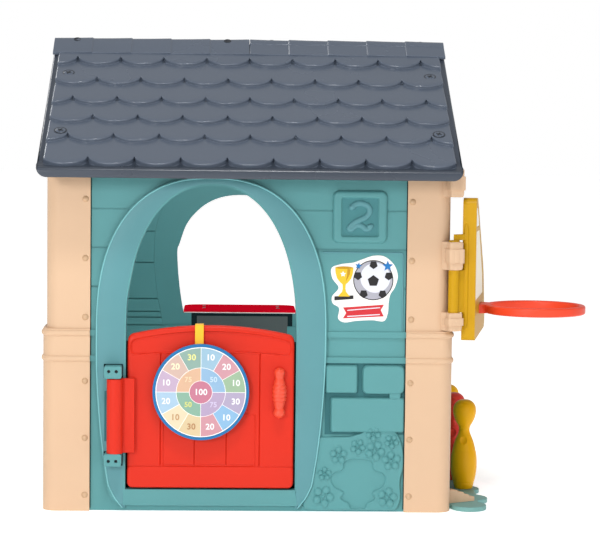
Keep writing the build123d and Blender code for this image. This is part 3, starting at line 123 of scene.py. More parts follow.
def mouldedPlastic(name, colour, rough, drift, grain, scale, gloss=0.3):
    # base colour drifts slowly over the piece; fine noise gives roughness and a moulded grain
    finish, tree, shader = newFinish(name)
    shader.inputs["Specular IOR Level"].default_value = gloss
    place = addNode(tree, "TexCoord").outputs["Object"]
    cloud = noiseOf(tree, place, Scale=5.0, Detail=4.0)
    speck = noiseOf(tree, place, Scale=scale, Detail=2.0)
    blend = tree.nodes.new("ShaderNodeMix")
    blend.data_type = "RGBA"
    for socket, share in ((6, 1 - drift), (7, 1 + drift)):          # the mix node's two colour inputs
        blend.inputs[socket].default_value = tuple(np.clip(np.array(rgb(*colour)) * share, 0, 1)[:3]) + (1,)
    tree.links.new(cloud, blend.inputs[0])
    tree.links.new(blend.outputs[2], shader.inputs["Base Color"])
    unevenRoughness(tree, shader, cloud, rough - 0.05, rough + 0.08)
    bump = addNode(tree, "Bump", [("Height", speck)], Strength=grain, Distance=0.0006)
    tree.links.new(bump.outputs["Normal"], shader.inputs["Normal"])
    return finish


finishes = {name: mouldedPlastic(name, *values) for name, values in plastics.items()}


def steelFinish():
    # grey metal with faint turned lines along Z
    finish, tree, shader = newFinish("turnedSteel")
    shader.inputs["Metallic"].default_value = 1.0
    shader.inputs["Base Color"].default_value = rgb(168, 170, 172)
    place = addNode(tree, "TexCoord").outputs["Object"]
    stretch = addNode(tree, "Mapping", [("Vector", place)], Scale=(40, 40, 900))
    unevenRoughness(tree, shader, noiseOf(tree, stretch.outputs["Vector"], Scale=1.0), 0.25, 0.5)
    return finish


def printedFinish():
    # colours come from the piece's own attribute, with a faint paper-like unevenness
    finish, tree, shader = newFinish("printedFace")
    ink = tree.nodes.new("ShaderNodeAttribute")
    ink.attribute_name = "ink"
    tree.links.new(ink.outputs["Color"], shader.inputs["Base Color"])
    place = addNode(tree, "TexCoord").outputs["Object"]
    unevenRoughness(tree, shader, noiseOf(tree, place, Scale=30.0), 0.28, 0.40)
    return finish


finishes["turnedSteel"] = steelFinish()
finishes["printedFace"] = printedFinish()
print("finishes made:", len(finishes))


# ---- mesh helpers

def newPiece(name, mesh, finish, body="house", smooth=40):
    # links a mesh, gives it its finish and lets it ride on a body
    piece = bpy.data.objects.new(name, mesh)
    bpy.context.scene.collection.objects.link(piece)
    mesh.materials.clear()
    mesh.materials.append(finishes[finish])
    mesh.polygons.foreach_set("use_smooth", np.ones(len(mesh.polygons), bool))
    mesh.set_sharp_from_angle(angle=math.radians(smooth))
    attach(piece, body)
    return piece


def roundEdges(piece, width, segments=2, angle=35):
    bevel = piece.modifiers.new("rounded", "BEVEL")
    bevel.width = width * mm
    bevel.segments = segments
    bevel.limit_method = "ANGLE"
    bevel.angle_limit = math.radians(angle)
    bevel.harden_normals = True
    bevel.miter_outer = "MITER_ARC"
    return piece


def cleaned(mesh, near, recalculate=True):
    # doubles nearer than this are merged, and normals turned outwards or flat neighbours joined
    work = bmesh.new()
    work.from_mesh(mesh)
    bmesh.ops.remove_doubles(work, verts=work.verts, dist=near)
    if recalculate:
        bmesh.ops.recalc_face_normals(work, faces=work.faces)
    else:
        bmesh.ops.dissolve_limit(work, angle_limit=math.radians(1.0), verts=work.verts, edges=work.edges)
    work.to_mesh(mesh)
    work.free()
    return mesh


def softened(node, finish, width, segments=2, angle=40, press=None, flat=False):
    # a merged copy of a CAD node with rounded edges, shown in its place; press may move its places
    mesh = nodes[node].data.copy()
    if press is not None:
        spots = np.empty(len(mesh.vertices) * 3, np.float32)
        mesh.vertices.foreach_get("co", spots)
        mesh.vertices.foreach_set("co", press(spots.reshape(-1, 3).astype(float) / mm).ravel() * mm)
    piece = newPiece(node + "Shown", cleaned(mesh, 2e-5, recalculate=False), finish, bodyOf[node], angle)
    if width:
        roundEdges(piece, width, segments, angle)
    if flat:
        mesh.polygons.foreach_set("use_smooth", np.zeros(len(mesh.polygons), bool))
        piece.modifiers["rounded"].harden_normals = False
    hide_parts(node)


def paint(node, finish):
    # a CAD node shown as it is
    nodes[node].data.materials[0] = finishes[finish]


def inkFaces(mesh, ink):
    # one colour for each face
    mesh.attributes.new("ink", "FLOAT_COLOR", "FACE").data.foreach_set("color", np.asarray(ink, np.float32).ravel())


def closedMesh(name, points, faces, near=1e-6, ink=None):
    # points in millimetres
    mesh = bpy.data.meshes.new(name)
    mesh.from_pydata((np.asarray(points, float) * mm).tolist(), [], faces)
    if ink is not None:
        inkFaces(mesh, ink)
    return cleaned(mesh, near)


def gridFaces(rows, columns, wrapRows=False, wrapColumns=False):
    # quads that join neighbours of a rows by columns grid
    index = np.arange(rows * columns).reshape(rows, columns)
    if wrapRows:
        index = np.vstack([index, index[:1]])
    if wrapColumns:
        index = np.hstack([index, index[:, :1]])
    corners = [index[:-1, :-1], index[1:, :-1], index[1:, 1:], index[:-1, 1:]]
    return np.stack(corners, -1).reshape(-1, 4)


def surface(name, points, finish, body="house", wrapRows=False, wrapColumns=False, caps=False, smooth=40):
    # points[i, j] is a place on the surface; caps closes the open ends
    rows, columns = points.shape[:2]
    faces = gridFaces(rows, columns, wrapRows, wrapColumns).tolist()
    if caps and wrapRows:
        faces += [list(range(first, rows * columns, columns)) for first in (0, columns - 1)]
    elif caps:
        faces += [list(range(first, first + columns)) for first in (0, (rows - 1) * columns)]
    return newPiece(name, closedMesh(name, points.reshape(-1, 3), faces), finish, body, smooth)


def tube(name, points, finish, body="house", smooth=60):
    # rows are closed rings, and both ends are capped
    return surface(name, points, finish, body, wrapColumns=True, caps=True, smooth=smooth)


def onPlane(x, out, z):
    # places from two grids and a distance out towards -Y
    return np.stack([x, -out + 0 * x, z], -1)


def prism(name, outline, ys, finish, width=0.0):
    # a closed loop in x and z carried from one depth to another
    loop = np.asarray(outline, float)
    piece = tube(name, np.stack([onPlane(loop[:, 0], -y, loop[:, 1]) for y in ys]), finish, smooth=35)
    if width:
        roundEdges(piece, width, 3, 30)


def slab(name, xs, ys, zs, finish, width=0.0):
    # plain box between two places on each axis
    prism(name, [(xs[0], zs[0]), (xs[1], zs[0]), (xs[1], zs[1]), (xs[0], zs[1])], ys, finish, width)


def turned(name, profile, centre, finish, body, around=64, smooth=50, press=None):
    # profile of (radius, height) turned about a vertical axis; press may change the radius
    profile = np.asarray(profile, float)
    angle = np.linspace(0, 2 * np.pi, around, endpoint=False)
    radius = np.repeat(profile[:, :1], around, 1)
    height = np.repeat(profile[:, 1:], around, 1)
    if press is not None:
        radius = press(radius, height, angle[None, :])
    rings = np.stack([radius * np.cos(angle), radius * np.sin(angle), height], -1)
    return tube(name, rings + np.array(centre, float), finish, body, smooth)


def smoothPath(points, count):
    # Catmull-Rom curve through the points, evenly divided
    points = np.asarray(points, float)
    padded = np.vstack([2 * points[0] - points[1], points, 2 * points[-1] - points[-2]])
    t = np.linspace(0, len(points) - 1 - 1e-9, count)
    k = t.astype(int)
    f = (t - k)[:, None]
    a, b, c, d = padded[k], padded[k + 1], padded[k + 2], padded[k + 3]
    return 0.5 * (2 * b + (c - a) * f + (2 * a - 5 * b + 4 * c - d) * f**2 + (3 * b - a - 3 * c + d) * f**3)


def between(low, high, shares):
    # rows that go from one line to another by the given shares
    return low + (high - low) * np.asarray(shares, float)[:, None]


def fineLine(start, end, step, marks=(), reach=3.0, fine=0.5):
    # even stations with closer ones round each mark
    stations = [np.arange(start, end, step), [end]]
    stations += [np.arange(mark - reach, mark + reach + fine / 2, fine) for mark in marks]
    line = np.unique(np.round(np.concatenate(stations), 3))
    return line[(line >= start) & (line <= end)]


def evenPath(path, count):
    # the same path with evenly spaced points
    length = np.concatenate([[0], np.cumsum(np.linalg.norm(np.diff(path, axis=0), axis=1))])
    at = np.linspace(0, length[-1], count)
    return np.stack([np.interp(at, length, path[:, 0]), np.interp(at, length, path[:, 1])], -1)


def closedLoop(points, count):
    # smooth closed curve through the points, evenly divided
    points = np.asarray(points, float)
    ring = smoothPath(np.vstack([points[-2:], points, points[:3]]), 60 * (len(points) + 4))
    share = len(ring) / (len(points) + 4)
    ring = ring[int(round(2 * share)):int(round((len(points) + 2) * share))]
    return evenPath(np.vstack([ring, ring[:1]]), count + 1)[:-1]


def insideBy(x, z, loop):
    # distance from each place to the loop, positive inside it
    a, b = loop, np.roll(loop, -1, axis=0)
    place = np.stack([x.ravel(), z.ravel()], -1)[:, None]
    step = b - a
    share = np.clip(((place - a) * step).sum(-1) / (step**2).sum(-1), 0, 1)
    near = np.sqrt(((place - a - step * share[..., None]) ** 2).sum(-1)).min(1)
    crosses = (a[:, 1] > place[..., 1]) != (b[:, 1] > place[..., 1])
    rise = np.where(np.abs(step[:, 1]) < 1e-9, 1e-9, step[:, 1])
    at = a[:, 0] + (place[..., 1] - a[:, 1]) * step[:, 0] / rise
    inside = (crosses & (place[..., 0] < at)).sum(1) % 2 == 1
    return np.where(inside, near, -near).reshape(x.shape)


def roundedStep(distance, width):
    # 0 at the edge, 1 from a width inside it, along a quarter circle
    t = np.clip(distance / width, 0, 1)
    return np.sqrt(1 - (1 - t) ** 2)


def easedStep(distance, width):
    # 0 at the edge, 1 from a width inside it, level at both ends
    t = np.clip(distance / width, 0, 1)
    return t * t * (3 - 2 * t)


def ridge(distance, width):
    # 1 on a line, falling off to both sides of it
    return np.exp(-((distance / width) ** 2))


def sideName(side):
    return "Front" if side < 0 else "Back"


def handName(end):
    return "Left" if end < 0 else "Right"


print("helpers ready")

# ---- roof

roof = dict(
    peak=1209.0, pitch=29.2, halfWidth=527.0, rim=14.0, lip=10.0, lastLip=15.0, plate=24.0,
    rows=(140.0, 250.0, 354.0, 451.0, 548.0, 665.0), scallop=115.0, sag=32.0, slit=8.0, foot=2.6,
    eave=594.0, eaveBottom=849.0, eaveBack=576.0, eaveCorner=26.0, endRound=5.5, edgeRound=3.4, sideRound=5.0,
    screwX=479.0, screwY=(166.0, 437.0), capScrews=(60.0, 467.0), capScrewDown=13.5,
    screwRise=(-5.6, -3.4), crossArm=(7.5, 2.0),
    capReach=84.0, tiles=5, tileRise=2.4, capEnd=529.0, strip=27.0, stripRise=1.5,
)
pitch = math.radians(roof["pitch"])
slopeCos, slopeSin = math.cos(pitch), math.sin(pitch)


def onSlope(side, x, down, above):
    # x across, down the slope from the ridge, above the plane through the shingle tips
    reach = down * slopeCos + above * slopeSin
    height = roof["peak"] - down * slopeSin + above * slopeCos
    return np.stack([x + 0 * reach, side * reach, height], -1)


def shingleRow(side, number):
    # one row: a shallow wedge down to the scalloped edge, a rounded lip and a small foot that flares out
    o = roof
    first, last = number == 0, number == len(o["rows"]) - 1
    lower = o["rows"][number]
    upper = o["capReach"] - 8 if first else o["rows"][number - 1] - o["sag"] - 6
    lip = o["lastLip"] if last else o["lip"]
    start = -1.2 if first else -o["lip"] - 1.5                      # the first row starts flush with the cap
    half, corner, r = o["scallop"] / 2, o["sideRound"], o["edgeRound"]
    radius = (half**2 + o["sag"] ** 2) / (2 * o["sag"])
    shift = half if (len(o["rows"]) - number) % 2 == 0 else 0.0
    field = o["halfWidth"] - o["rim"]
    ends = field - corner * (1 - np.cos(np.linspace(0, np.pi / 2, 6)[:-1]))
    x = np.concatenate([-ends, np.linspace(-field + corner, field - corner, 429), ends[::-1]])
    over = np.clip(np.abs(x) - field + corner, 0, None) / corner
    sideDrop = corner * (1 - np.sqrt(np.clip(1 - over**2, 0, 1)))
    off = np.abs((x - shift + half) % o["scallop"] - half)          # distance from the scallop's middle
    sag = radius - np.sqrt(np.maximum(radius**2 - off**2, 0))
    slit = o["slit"] * np.clip((off - half + 3.6) / 2.8, 0, 1)      # short slit where two scallops meet
    edge = lower - sag - slit
    down, above = [], []
    for t in (0, 0.15, 0.3, 0.45, 0.6, 0.75, 0.88, 1):              # along the top
        d = upper + (edge - r - upper) * t
        down.append(d)
        above.append(start - sideDrop - start * np.clip((d - upper) / (lower - upper), 0, 1) ** 0.9)
    crest = above[-1]
    for bend in (0.35, 0.7, 1.05, 1.35, math.pi / 2):               # round the edge
        down.append(edge - r + r * math.sin(bend))
        above.append(crest - r + r * math.cos(bend))
    for out, height in ((0.4, 2.6), (0.8, 1.3), (1.6, 0.5), (o["foot"], 0.0), (o["foot"], -2.0)):
        down.append(edge + out)
        above.append(np.full_like(x, -lip + height))
    down.append(np.full_like(x, upper))                             # closed under the plate's top
    above.append(np.full_like(x, -lip - 2.0))
    points = onSlope(side, np.repeat(x[None, :], len(down), 0), np.array(down), np.array(above))
    surface(f"shingles{sideName(side)}{number}", points, "slateRoof", wrapRows=True, caps=True, smooth=42)


def cornerDrop(over, radius):
    # how far a rounded corner has fallen, over being the distance past its end
    return radius - np.sqrt(np.maximum(radius**2 - np.clip(over + radius, 0, None) ** 2, 0))


def roofDeck(side):
    # plate under the shingles with the flatter shelf and the rounded eave, in a darker copy of the roof's slate:
    # painted shade
    def drop(reach, depth):
        return (reach, roof["peak"] - reach * slopeSin / slopeCos - depth / slopeCos)
    e, low, ball, toe = roof["eave"], roof["eaveBottom"], 11.0, 4.0
    back, lip, shelf, plate, half = (roof[k] for k in ("eaveBack", "lip", "lastLip", "plate", "halfWidth"))
    top = drop(e - 34, shelf)[1]
    bend = np.linspace(0, np.pi / 2, 8)
    outline = [drop(0, lip), drop(420, lip), drop(e - 74, lip + 1), drop(e - 54, shelf)]
    outline += [(e - 34, top), (e - 22, top - 2.4)]
    outline += [(e - ball + ball * math.sin(b), top - 4 - ball + ball * math.cos(b)) for b in bend]
    outline += [(e - toe + toe * math.cos(b), low + toe - toe * math.sin(b)) for b in bend[::2]]
    outline = np.array(outline + [(back, low), drop(back - 4, plate), drop(0, plate)])
    tangent = np.roll(outline, -1, 0) - np.roll(outline, 1, 0)
    inward = np.stack([-tangent[:, 1], tangent[:, 0]], -1) / np.linalg.norm(tangent, axis=1)[:, None]
    inward *= np.where(((outline.mean(0) - outline) * inward).sum(1) < 0, -1, 1)[:, None]
    inward[np.abs(outline[:, 0]) < 1, 0] = 0                        # the ridge end stays put
    # the outline shrinks at both ends, and the eave's lower corners are rounded more
    large = roof["eaveCorner"]
    arm = half - large + large * np.sin(np.linspace(0, np.pi / 2, 16))
    x = np.concatenate([-arm[::-1], [0.0], arm])
    over = np.abs(x) - half
    loops = outline[None] + inward[None] * cornerDrop(over, roof["endRound"])[:, None, None]
    lowest = np.where(loops[..., 0] > back - 12, low + cornerDrop(over, large)[:, None], -1e9)
    loops[..., 1] = np.maximum(loops[..., 1], lowest)
    points = np.stack([np.repeat(x[:, None], len(outline), 1), side * loops[..., 0], loops[..., 1]], -1)
    return tube("roofDeck" + sideName(side), points, "slateEaveShade", smooth=35)


def turnedOnSlope(name, side, x, down, profile, finish, around=40):
    # (radius, height) turned about the slope's normal
    angle = np.linspace(0, 2 * np.pi, around, endpoint=False)
    profile = np.asarray(profile, float)
    radius, above = profile[:, :1], profile[:, 1:]
    points = onSlope(side, x + radius * np.cos(angle), down + radius * np.sin(angle), above + 0 * angle)
    tube(name, points, finish, smooth=40)


def roofScrew(side, x, reach):
    # flush disc with a dark gap round it and a small cross
    down = reach / slopeCos
    name = f"screw{sideName(side)}{handName(x)}{int(reach)}"
    rise = roof["screwRise"][reach > roof["screwY"][0]]             # the lower screws lie on higher shingles
    gap = [(0.02, rise - 4), (15.6, rise - 4), (15.6, rise + 2.0), (0.02, rise + 2.0)]
    disc = [(0.02, rise - 3), (13.0, rise - 3), (13.0, rise + 1.9), (12.2, rise + 2.5), (0.02, rise + 2.7)]
    turnedOnSlope(name + "Gap", side, x, down, gap, "darkScrew")
    turnedOnSlope(name + "Disc", side, x, down, disc, "slateRoof")
    u, v = (arm * np.array(signs) for arm, signs in zip(roof["crossArm"], ((-1, 1, 1, -1), (-1, -1, 1, 1))))
    for turn in (0.5, 0.5 + math.pi / 2):                           # the two arms of the cross
        a, b = u * math.cos(turn) - v * math.sin(turn), u * math.sin(turn) + v * math.cos(turn)
        slot = np.stack([onSlope(side, x + a, down + b, np.full(4, z)) for z in (rise + 1.0, rise + 3.1)])
        tube(f"{name}Slot{int(turn * 10)}", slot, "darkScrew", smooth=40)


def ridgeCap(end):
    # tiles that rise towards the middle of the ridge; section is two slopes with a rounded ridge
    tile, tileRise, reach = roof["capEnd"] / roof["tiles"], roof["tileRise"], roof["capReach"]
    stations, rise = [], []
    for k in range(roof["tiles"]):
        near, far = 0.6 + k * tile, (k + 1) * tile
        stations += [near, near + 1.6, near + tile * 0.45, far - 0.7]
        rise += [tileRise * 0.45, tileRise, tileRise * 0.4, 0.0]
    x, rise = end * np.array(stations + [roof["capEnd"] - 0.4]), np.array(rise + [-1.6])
    # places of the section: slope, distance down it, height; the strip over the ridge is on one slope only
    strip, over = roof["strip"], roof["stripRise"]
    section = [(-1, reach, -0.6), (-1, reach - 1.5, 1.0), (-1, 60.0, 1.0), (-1, strip, 1.0),
        (-1, strip - 0.8, 1.0 + over)]
    for way, d, h in ((-1, 14.0, 1.6), (-1, 7.0, 1.2), (-1, 1.5, -0.4), (1, 1.5, -0.4), (1, 7.0, 1.2),
            (1, 14.0, 1.6)):
        section.append((way, d, h + over))
    section += [(1, 60.0, 1.6), (1, reach - 1.5, 1.0), (1, reach, -0.6), (1, reach, -7.0), (1, 4.0, -8.0),
                (-1, 4.0, -8.0), (-1, reach, -7.0)]
    # the strip lies on the front of the right half and on the back of the left half
    columns = [onSlope(way * end, x, np.full(len(x), d), h + rise * (h > -5)) for way, d, h in section]
    piece = tube("ridgeCap" + handName(end) + "Shown", np.stack(columns, 1), "slateRoof", smooth=22)
    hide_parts("ridge_cap_right" if end > 0 else "ridge_cap_left")
    for spot in roof["capScrews"]:                                  # dark sunk screws beside the ridge
        turnedOnSlope(f"capScrew{handName(end)}{int(spot)}", end, end * spot, roof["capScrewDown"],
                      [(0.02, -3), (9.5, -3), (9.5, 4.7), (8.0, 4.7), (7.2, 4.1), (0.02, 4.1)], "darkScrew")


for side in (-1, 1):
    roofDeck(side)
    for number in range(len(roof["rows"])):
        shingleRow(side, number)
    for end in (-1, 1):
        for reach in roof["screwY"]:
            roofScrew(side, end * roof["screwX"], reach)
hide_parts("roof_front", "roof_screws")
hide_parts("roof_back")
for end in (-1, 1):
    ridgeCap(end)
paint("ridge_screws", "darkScrew")
print("roof made")

# ---- walls and posts

wall = dict(
    face=468.0, archX=-94.0, archFace=482.6,
    # boxes in x and z that hold the moulded reliefs
    reliefs=(((130, 401), (-1, 379)), ((200, 360), (684, 822))),
)


def reliefPlate(name, x, z, proud, smooth=50):
    # x, z and proud are grids: proud is the distance out of the wall; a flat back closes the plate
    points = onPlane(x, wall["face"] + np.maximum(proud, -3), z)
    rear = points[[-1, 0]]
    rear[..., 1] = 4 - wall["face"]
    surface(name, np.concatenate([points, rear]), "tealWall", wrapRows=True, caps=True, smooth=smooth)


def pressRelief(places):
    # the moulded reliefs of the front wall are pressed flat here, and made again below as pieces of their own
    x, y, z = places.T
    held = sum((x > x0) & (x < x1) & (z > z0) & (z < z1) for (x0, x1), (z0, z1) in wall["reliefs"])
    proud = (y < -wall["face"] - 0.05) & (held > 0)
    return np.stack([x, np.where(proud, -wall["face"], y), z], -1)


for node in ("front_wall", "back_wall", "left_wall", "right_wall"):
    softened(node, "tealWall", 1.6, press=pressRelief if node == "front_wall" else None, flat=True)
# the rivets take a darker tan than the posts: painted shade that makes them stand out
for group in ("front", "back", "left", "right"):
    softened(group + "_rivets", "rivetShadeTan", 0, angle=35)
for corner in ("front_left", "front_right", "back_left", "back_right"):
    softened("lower_post_" + corner, "beigePost", 4.0, 3)
    softened("upper_post_" + corner, "beigePost", 3.0, 3)

post = dict(
    # the dark strip's edges, depth and height in the joint: painted shade
    jointX=(397.8, 400.4), jointDepth=3.0, jointZ=(6, 846),
    # the beads' heights, half height and how far they stand out; where they start, turn and stop
    beadZ=(388.5, 453.5), beadHalf=7.5, beadOut=5.6, start=(400.6, -480), middle=(485, -445), corner=35,
    stop=(520, -360.6),
)


def postLines(end, side):
    # a narrow dark strip, painted shade, in the joint where a wall runs behind a post, and half-round beads round
    # the lower post
    p = post
    name = handName(end) + sideName(side)
    ys = [side * (wall["face"] + 0.8 - depth) for depth in (0, p["jointDepth"])]
    slab("jointShadeAcross" + name, [end * x for x in p["jointX"]], ys, p["jointZ"], "gapShade")
    bend = np.linspace(0, np.pi / 2, 12)
    way = np.column_stack([np.sin(bend), -np.cos(bend)])
    path = np.vstack([[p["start"]], p["middle"] + p["corner"] * way, [p["stop"]]])
    way = np.vstack([[(0, -1)], way, [(1, 0)]])
    turn = np.linspace(0, np.pi, 11)
    out = (-1.0 + p["beadOut"] * np.sin(turn))[None, :, None]
    flat = (path[:, None] + way[:, None] * out) * (end, -side)
    for height in p["beadZ"]:
        z = np.repeat((height + p["beadHalf"] * np.cos(turn))[None, :, None], len(path), 0)
        tube(f"postBead{name}{int(height)}", np.concatenate([flat, z], -1), "beigePost")


for end in (-1, 1):
    for side in (-1, 1):
        postLines(end, side)


def superArch(half, spring, top, power, count):
    # superellipse from the right spring over the top to the left one
    turn = np.linspace(0, np.pi, count)
    across = np.sign(np.cos(turn)) * np.abs(np.cos(turn)) ** (2 / power) * half
    return np.stack([across, spring + np.abs(np.sin(turn)) ** (2 / power) * (top - spring)], -1)


arch = dict(
    outerTop=850.0, outerSpring=461.0, outerHalf=292.6, outerPower=2.4,
    innerTop=827.8, innerSpring=450.0, innerHalf=215.3, innerPower=2.25, back=-444.2,
    outerLeg=((226, 9), (246, 34), (261.6, 66), (272, 130), (281.6, 207), (288, 290), (291.6, 360), (292.6, 420)),
)


def archFrame():
    # rounded band between the inner and the outer arch, with a reveal through the wall
    a, count = arch, 220
    crown = superArch(a["outerHalf"], a["outerSpring"], a["outerTop"] + 0.6, a["outerPower"], 121)
    side = np.array(a["outerLeg"])
    outer = evenPath(np.vstack([side, crown[1:-1], side[::-1] * (-1, 1)]), count)
    innerCrown = superArch(a["innerHalf"], a["innerSpring"], a["innerTop"], a["innerPower"], 121)
    legs = np.column_stack([np.full(len(side), a["innerHalf"]), side[:, 1]])
    inner = evenPath(np.vstack([legs, innerCrown[1:-1], legs[::-1] * (-1, 1)]), count)
    face, wallFace = wall["archFace"], wall["face"] - 1
    # section: share of the way from inner to outer, extra millimetres, distance out
    section = [(0, 0, -a["back"]), (0, 0, face - 7), (0, 1.2, face - 3), (0, 3.6, face - 1), (0, 7, face),
               (0.5, 0, face), (1, -8, face), (1, -4, face - 1.2), (1, -1.4, face - 3.6), (1, 0, face - 7),
               (1, 0.4, wallFace), (1, -6, -a["back"])]
    step = (outer - inner) / np.linalg.norm(outer - inner, axis=1)[:, None]
    rings = []
    for share, extra, out in section:
        ring = inner + (outer - inner) * share + step * extra
        rings.append(onPlane(wall["archX"] + ring[:, 0], out, ring[:, 1]))
    tube("archFrame", np.stack(rings, 1), "tealArch", smooth=50)
    # slim raised line along the outer edge, in a lighter teal: painted highlight
    bend = np.linspace(0, np.pi, 7)
    line = (outer - step * 3.6)[:, None] + step[:, None] * 1.8 * np.cos(bend)[None, :, None]
    height = face - 1.2 + 2.2 * np.sin(bend)[None, :]
    tube("archLine", onPlane(wall["archX"] + line[..., 0], height, line[..., 1]), "tealHighlight")


archFrame()

relief = dict(
    plaqueX=(210.0, 349.0), plaqueZ=(686.0, 820.0), plaqueCorner=17.0, plaqueProud=10.5, fieldInset=(22.0, 17.0),
    fieldDepth=6.5,
    figure=((-19, 18), (-21, 26), (-13, 34), (0, 37), (14, 34), (24, 25), (25, 12), (16, 0), (2, -7), (-12, -14),
        (-23, -23), (-29, -31), (-25, -34), (-16, -27), (-6, -22), (5, -25), (14, -32), (23, -32), (28, -24),
        (27, -17)),
    # each brick: its box, corner, how proud it is and the width of its soft edge
    bricks=(("brick0", (196.0, 279.0, 304.0, 377.0), 7.0, 13.0, 6.0),
            ("brick1", (290.0, 398.5, 302.0, 377.0), 16.0, 13.0, 6.0),
            ("brick2", (210.0, 398.5, 204.0, 294.0), 7.0, 13.0, 6.0),
            ("brickTab", (359.0, 389.0, 288.0, 312.0), 2.0, 10.5, 3.0)),
    bushProud=9.0, fieldSunk=4.5, petal=6.5, flowerHeart=4.2,
    # raised bead along the top and the right side of the panel: its corners and the corner's rounding
    beadStart=(186, 662.5), beadCorner=(384, 656.5), beadRound=6, beadEnd=(390, 464),
    outline=((152, 6), (250, 4), (366, 4), (386, 14), (393, 40), (391, 70), (393, 92), (398, 110), (398, 150),
        (390, 186), (372, 212), (345, 224), (322, 222), (300, 212), (288, 203), (272, 198), (258, 194), (225, 193),
        (192, 192), (172, 186), (166, 130), (156, 90), (146, 40)),
    vase=((0, 137), (18, 136.5), (33, 131), (38.5, 124), (37.5, 115), (43, 108), (60, 102), (70, 91), (68, 74),
        (58, 61), (43, 53.5), (37, 48), (45, 38), (40, 30), (25, 22), (20, 10), (13, 6.5), (0, 6.5)),
    vaseX=283.0,
    # place, radius and turn of each flower
    flowers=((232, 146, 23, 90), (281, 168, 20, 62), (320, 202, 20, 56), (325, 158, 26, 64), (367, 182, 19, 60),
             (367, 132, 25, 95), (197, 98, 18, 90), (194, 40, 28, 66), (358, 38, 26, 78)),
)


def roundedBox(x, z, xs, zs, corner):
    # distance inside a rectangle with rounded corners
    cx, cz = (xs[0] + xs[1]) / 2, (zs[0] + zs[1]) / 2
    a = np.abs(x - cx) - (xs[1] - xs[0]) / 2 + corner
    b = np.abs(z - cz) - (zs[1] - zs[0]) / 2 + corner
    outside = np.hypot(np.maximum(a, 0), np.maximum(b, 0))
    return corner - outside - np.minimum(np.maximum(a, b), 0)


def plaque():
    # rounded frame with a sunk field
    r = relief
    x, z = np.meshgrid(*(fineLine(low - 1.5, high + 1.5, 1.5) for low, high in (r["plaqueX"], r["plaqueZ"])))
    inside = roundedBox(x, z, r["plaqueX"], r["plaqueZ"], r["plaqueCorner"])
    (x0, x1), (z0, z1), (insetX, insetZ) = r["plaqueX"], r["plaqueZ"], r["fieldInset"]
    field = roundedBox(x, z, (x0 + insetX, x1 - insetX), (z0 + insetZ, z1 - insetZ), 5.0)
    out = r["plaqueProud"] * roundedStep(inside, 9.0) - r["fieldDepth"] * easedStep(field + 1.5, 5.0)
    reliefPlate("numberPlaque", x, z, out + np.minimum(inside, 0) * 2.5)


def ridgeAlong(name, path, across, height):
    # carries a section along a path: across and height are given for each place of the path
    tangent = np.gradient(path, axis=0)
    tangent /= np.linalg.norm(tangent, axis=1)[:, None]
    x, z = path[:, :1] - tangent[:, 1:] * across, path[:, 1:] + tangent[:, :1] * across
    tube(name, onPlane(x, height, z), "tealArch")


def plaqueFigure():
    # half-round ridge along the figure's path, rounded and slightly swollen at both ends
    r = relief
    middle = [(low + high) / 2 for low, high in (r["plaqueX"], r["plaqueZ"])]
    path = evenPath(smoothPath(r["figure"], 200), 120) * 0.93 + middle
    along = np.linspace(0, 1, len(path))
    end = np.clip(np.minimum(along, 1 - along) * 30, 0, 1)
    swell = 1 + 0.22 * ridge(along - 0.03, 0.03) + 0.15 * ridge(along - 0.97, 0.03)
    width = (7.7 * np.sqrt(np.clip(1 - (1 - end) ** 2, 0.002, 1)) * swell)[:, None]
    bend = np.linspace(0, np.pi, 11)
    height = wall["face"] + r["plaqueProud"] - r["fieldDepth"] - 0.6 + width * 0.85 * np.sin(bend) ** 0.8
    ridgeAlong("plaqueFigure", path, width * np.cos(bend), height)


def brick(name, box, corner, proud, edge):
    # pillow with rounded corners and a soft edge
    xs, zs = box[:2], box[2:]
    x, z = np.meshgrid(*(fineLine(a - 1, b + 1, 6.0, (a + 2, b - 2), 6, 0.8) for a, b in (xs, zs)))
    inside = roundedBox(x, z, xs, zs, corner)
    reliefPlate(name, x, z, proud * roundedStep(inside, edge) + np.minimum(inside, 0) * 4)


def bush():
    # proud leaf mass with a sunk vase-shaped field and domed flowers of five petals
    r = relief
    x, z = np.meshgrid(np.arange(140.0, 400.5, 1.25), np.arange(1.5, 227.0, 1.25))
    rim = insideBy(x, z, closedLoop(r["outline"], 140))
    half = evenPath(smoothPath(r["vase"], 120), 60)
    field = insideBy(x, z, np.vstack([half, half[::-1][1:-1] * (-1, 1)]) + (r["vaseX"], 0))
    out = r["bushProud"] * roundedStep(rim, 4.0) - r["fieldSunk"] * easedStep(field, 2.2)
    out = out + 0.9 * ridge(field + 2.2, 1.6) * (rim > 3)           # a thin raised lip round the field
    for fx, fz, size, turn in r["flowers"]:
        angle = np.radians(turn + 72 * np.arange(5))[:, None, None]
        px, pz = fx + size * 0.64 * np.cos(angle), fz + size * 0.64 * np.sin(angle)
        away = np.hypot(x - px, z - pz) / (size * 0.37)
        petal = (r["petal"] * np.sqrt(np.clip(1 - away**2, 0, 1))).max(0)
        heart = r["flowerHeart"] * np.sqrt(np.clip(1 - (np.hypot(x - fx, z - fz) / (size * 0.17)) ** 2, 0, 1))
        out = out + np.maximum(petal, heart) * easedStep(rim, 4.0)
    reliefPlate("leafRelief", x, z, np.where(rim < 0, rim * 3, out), 60)


def panelBead():
    r = relief
    corner = np.radians(np.linspace(90, 0, 8))
    rounded = r["beadCorner"] + r["beadRound"] * np.column_stack([np.cos(corner), np.sin(corner)])
    path = evenPath(np.vstack([[r["beadStart"]], rounded, [r["beadEnd"]]]), 90)
    bend = np.linspace(0, np.pi, 9)[None, :]
    ridgeAlong("panelBead", path, 2.4 * np.cos(bend), wall["face"] + 1.6 + 2.2 * np.sin(bend))


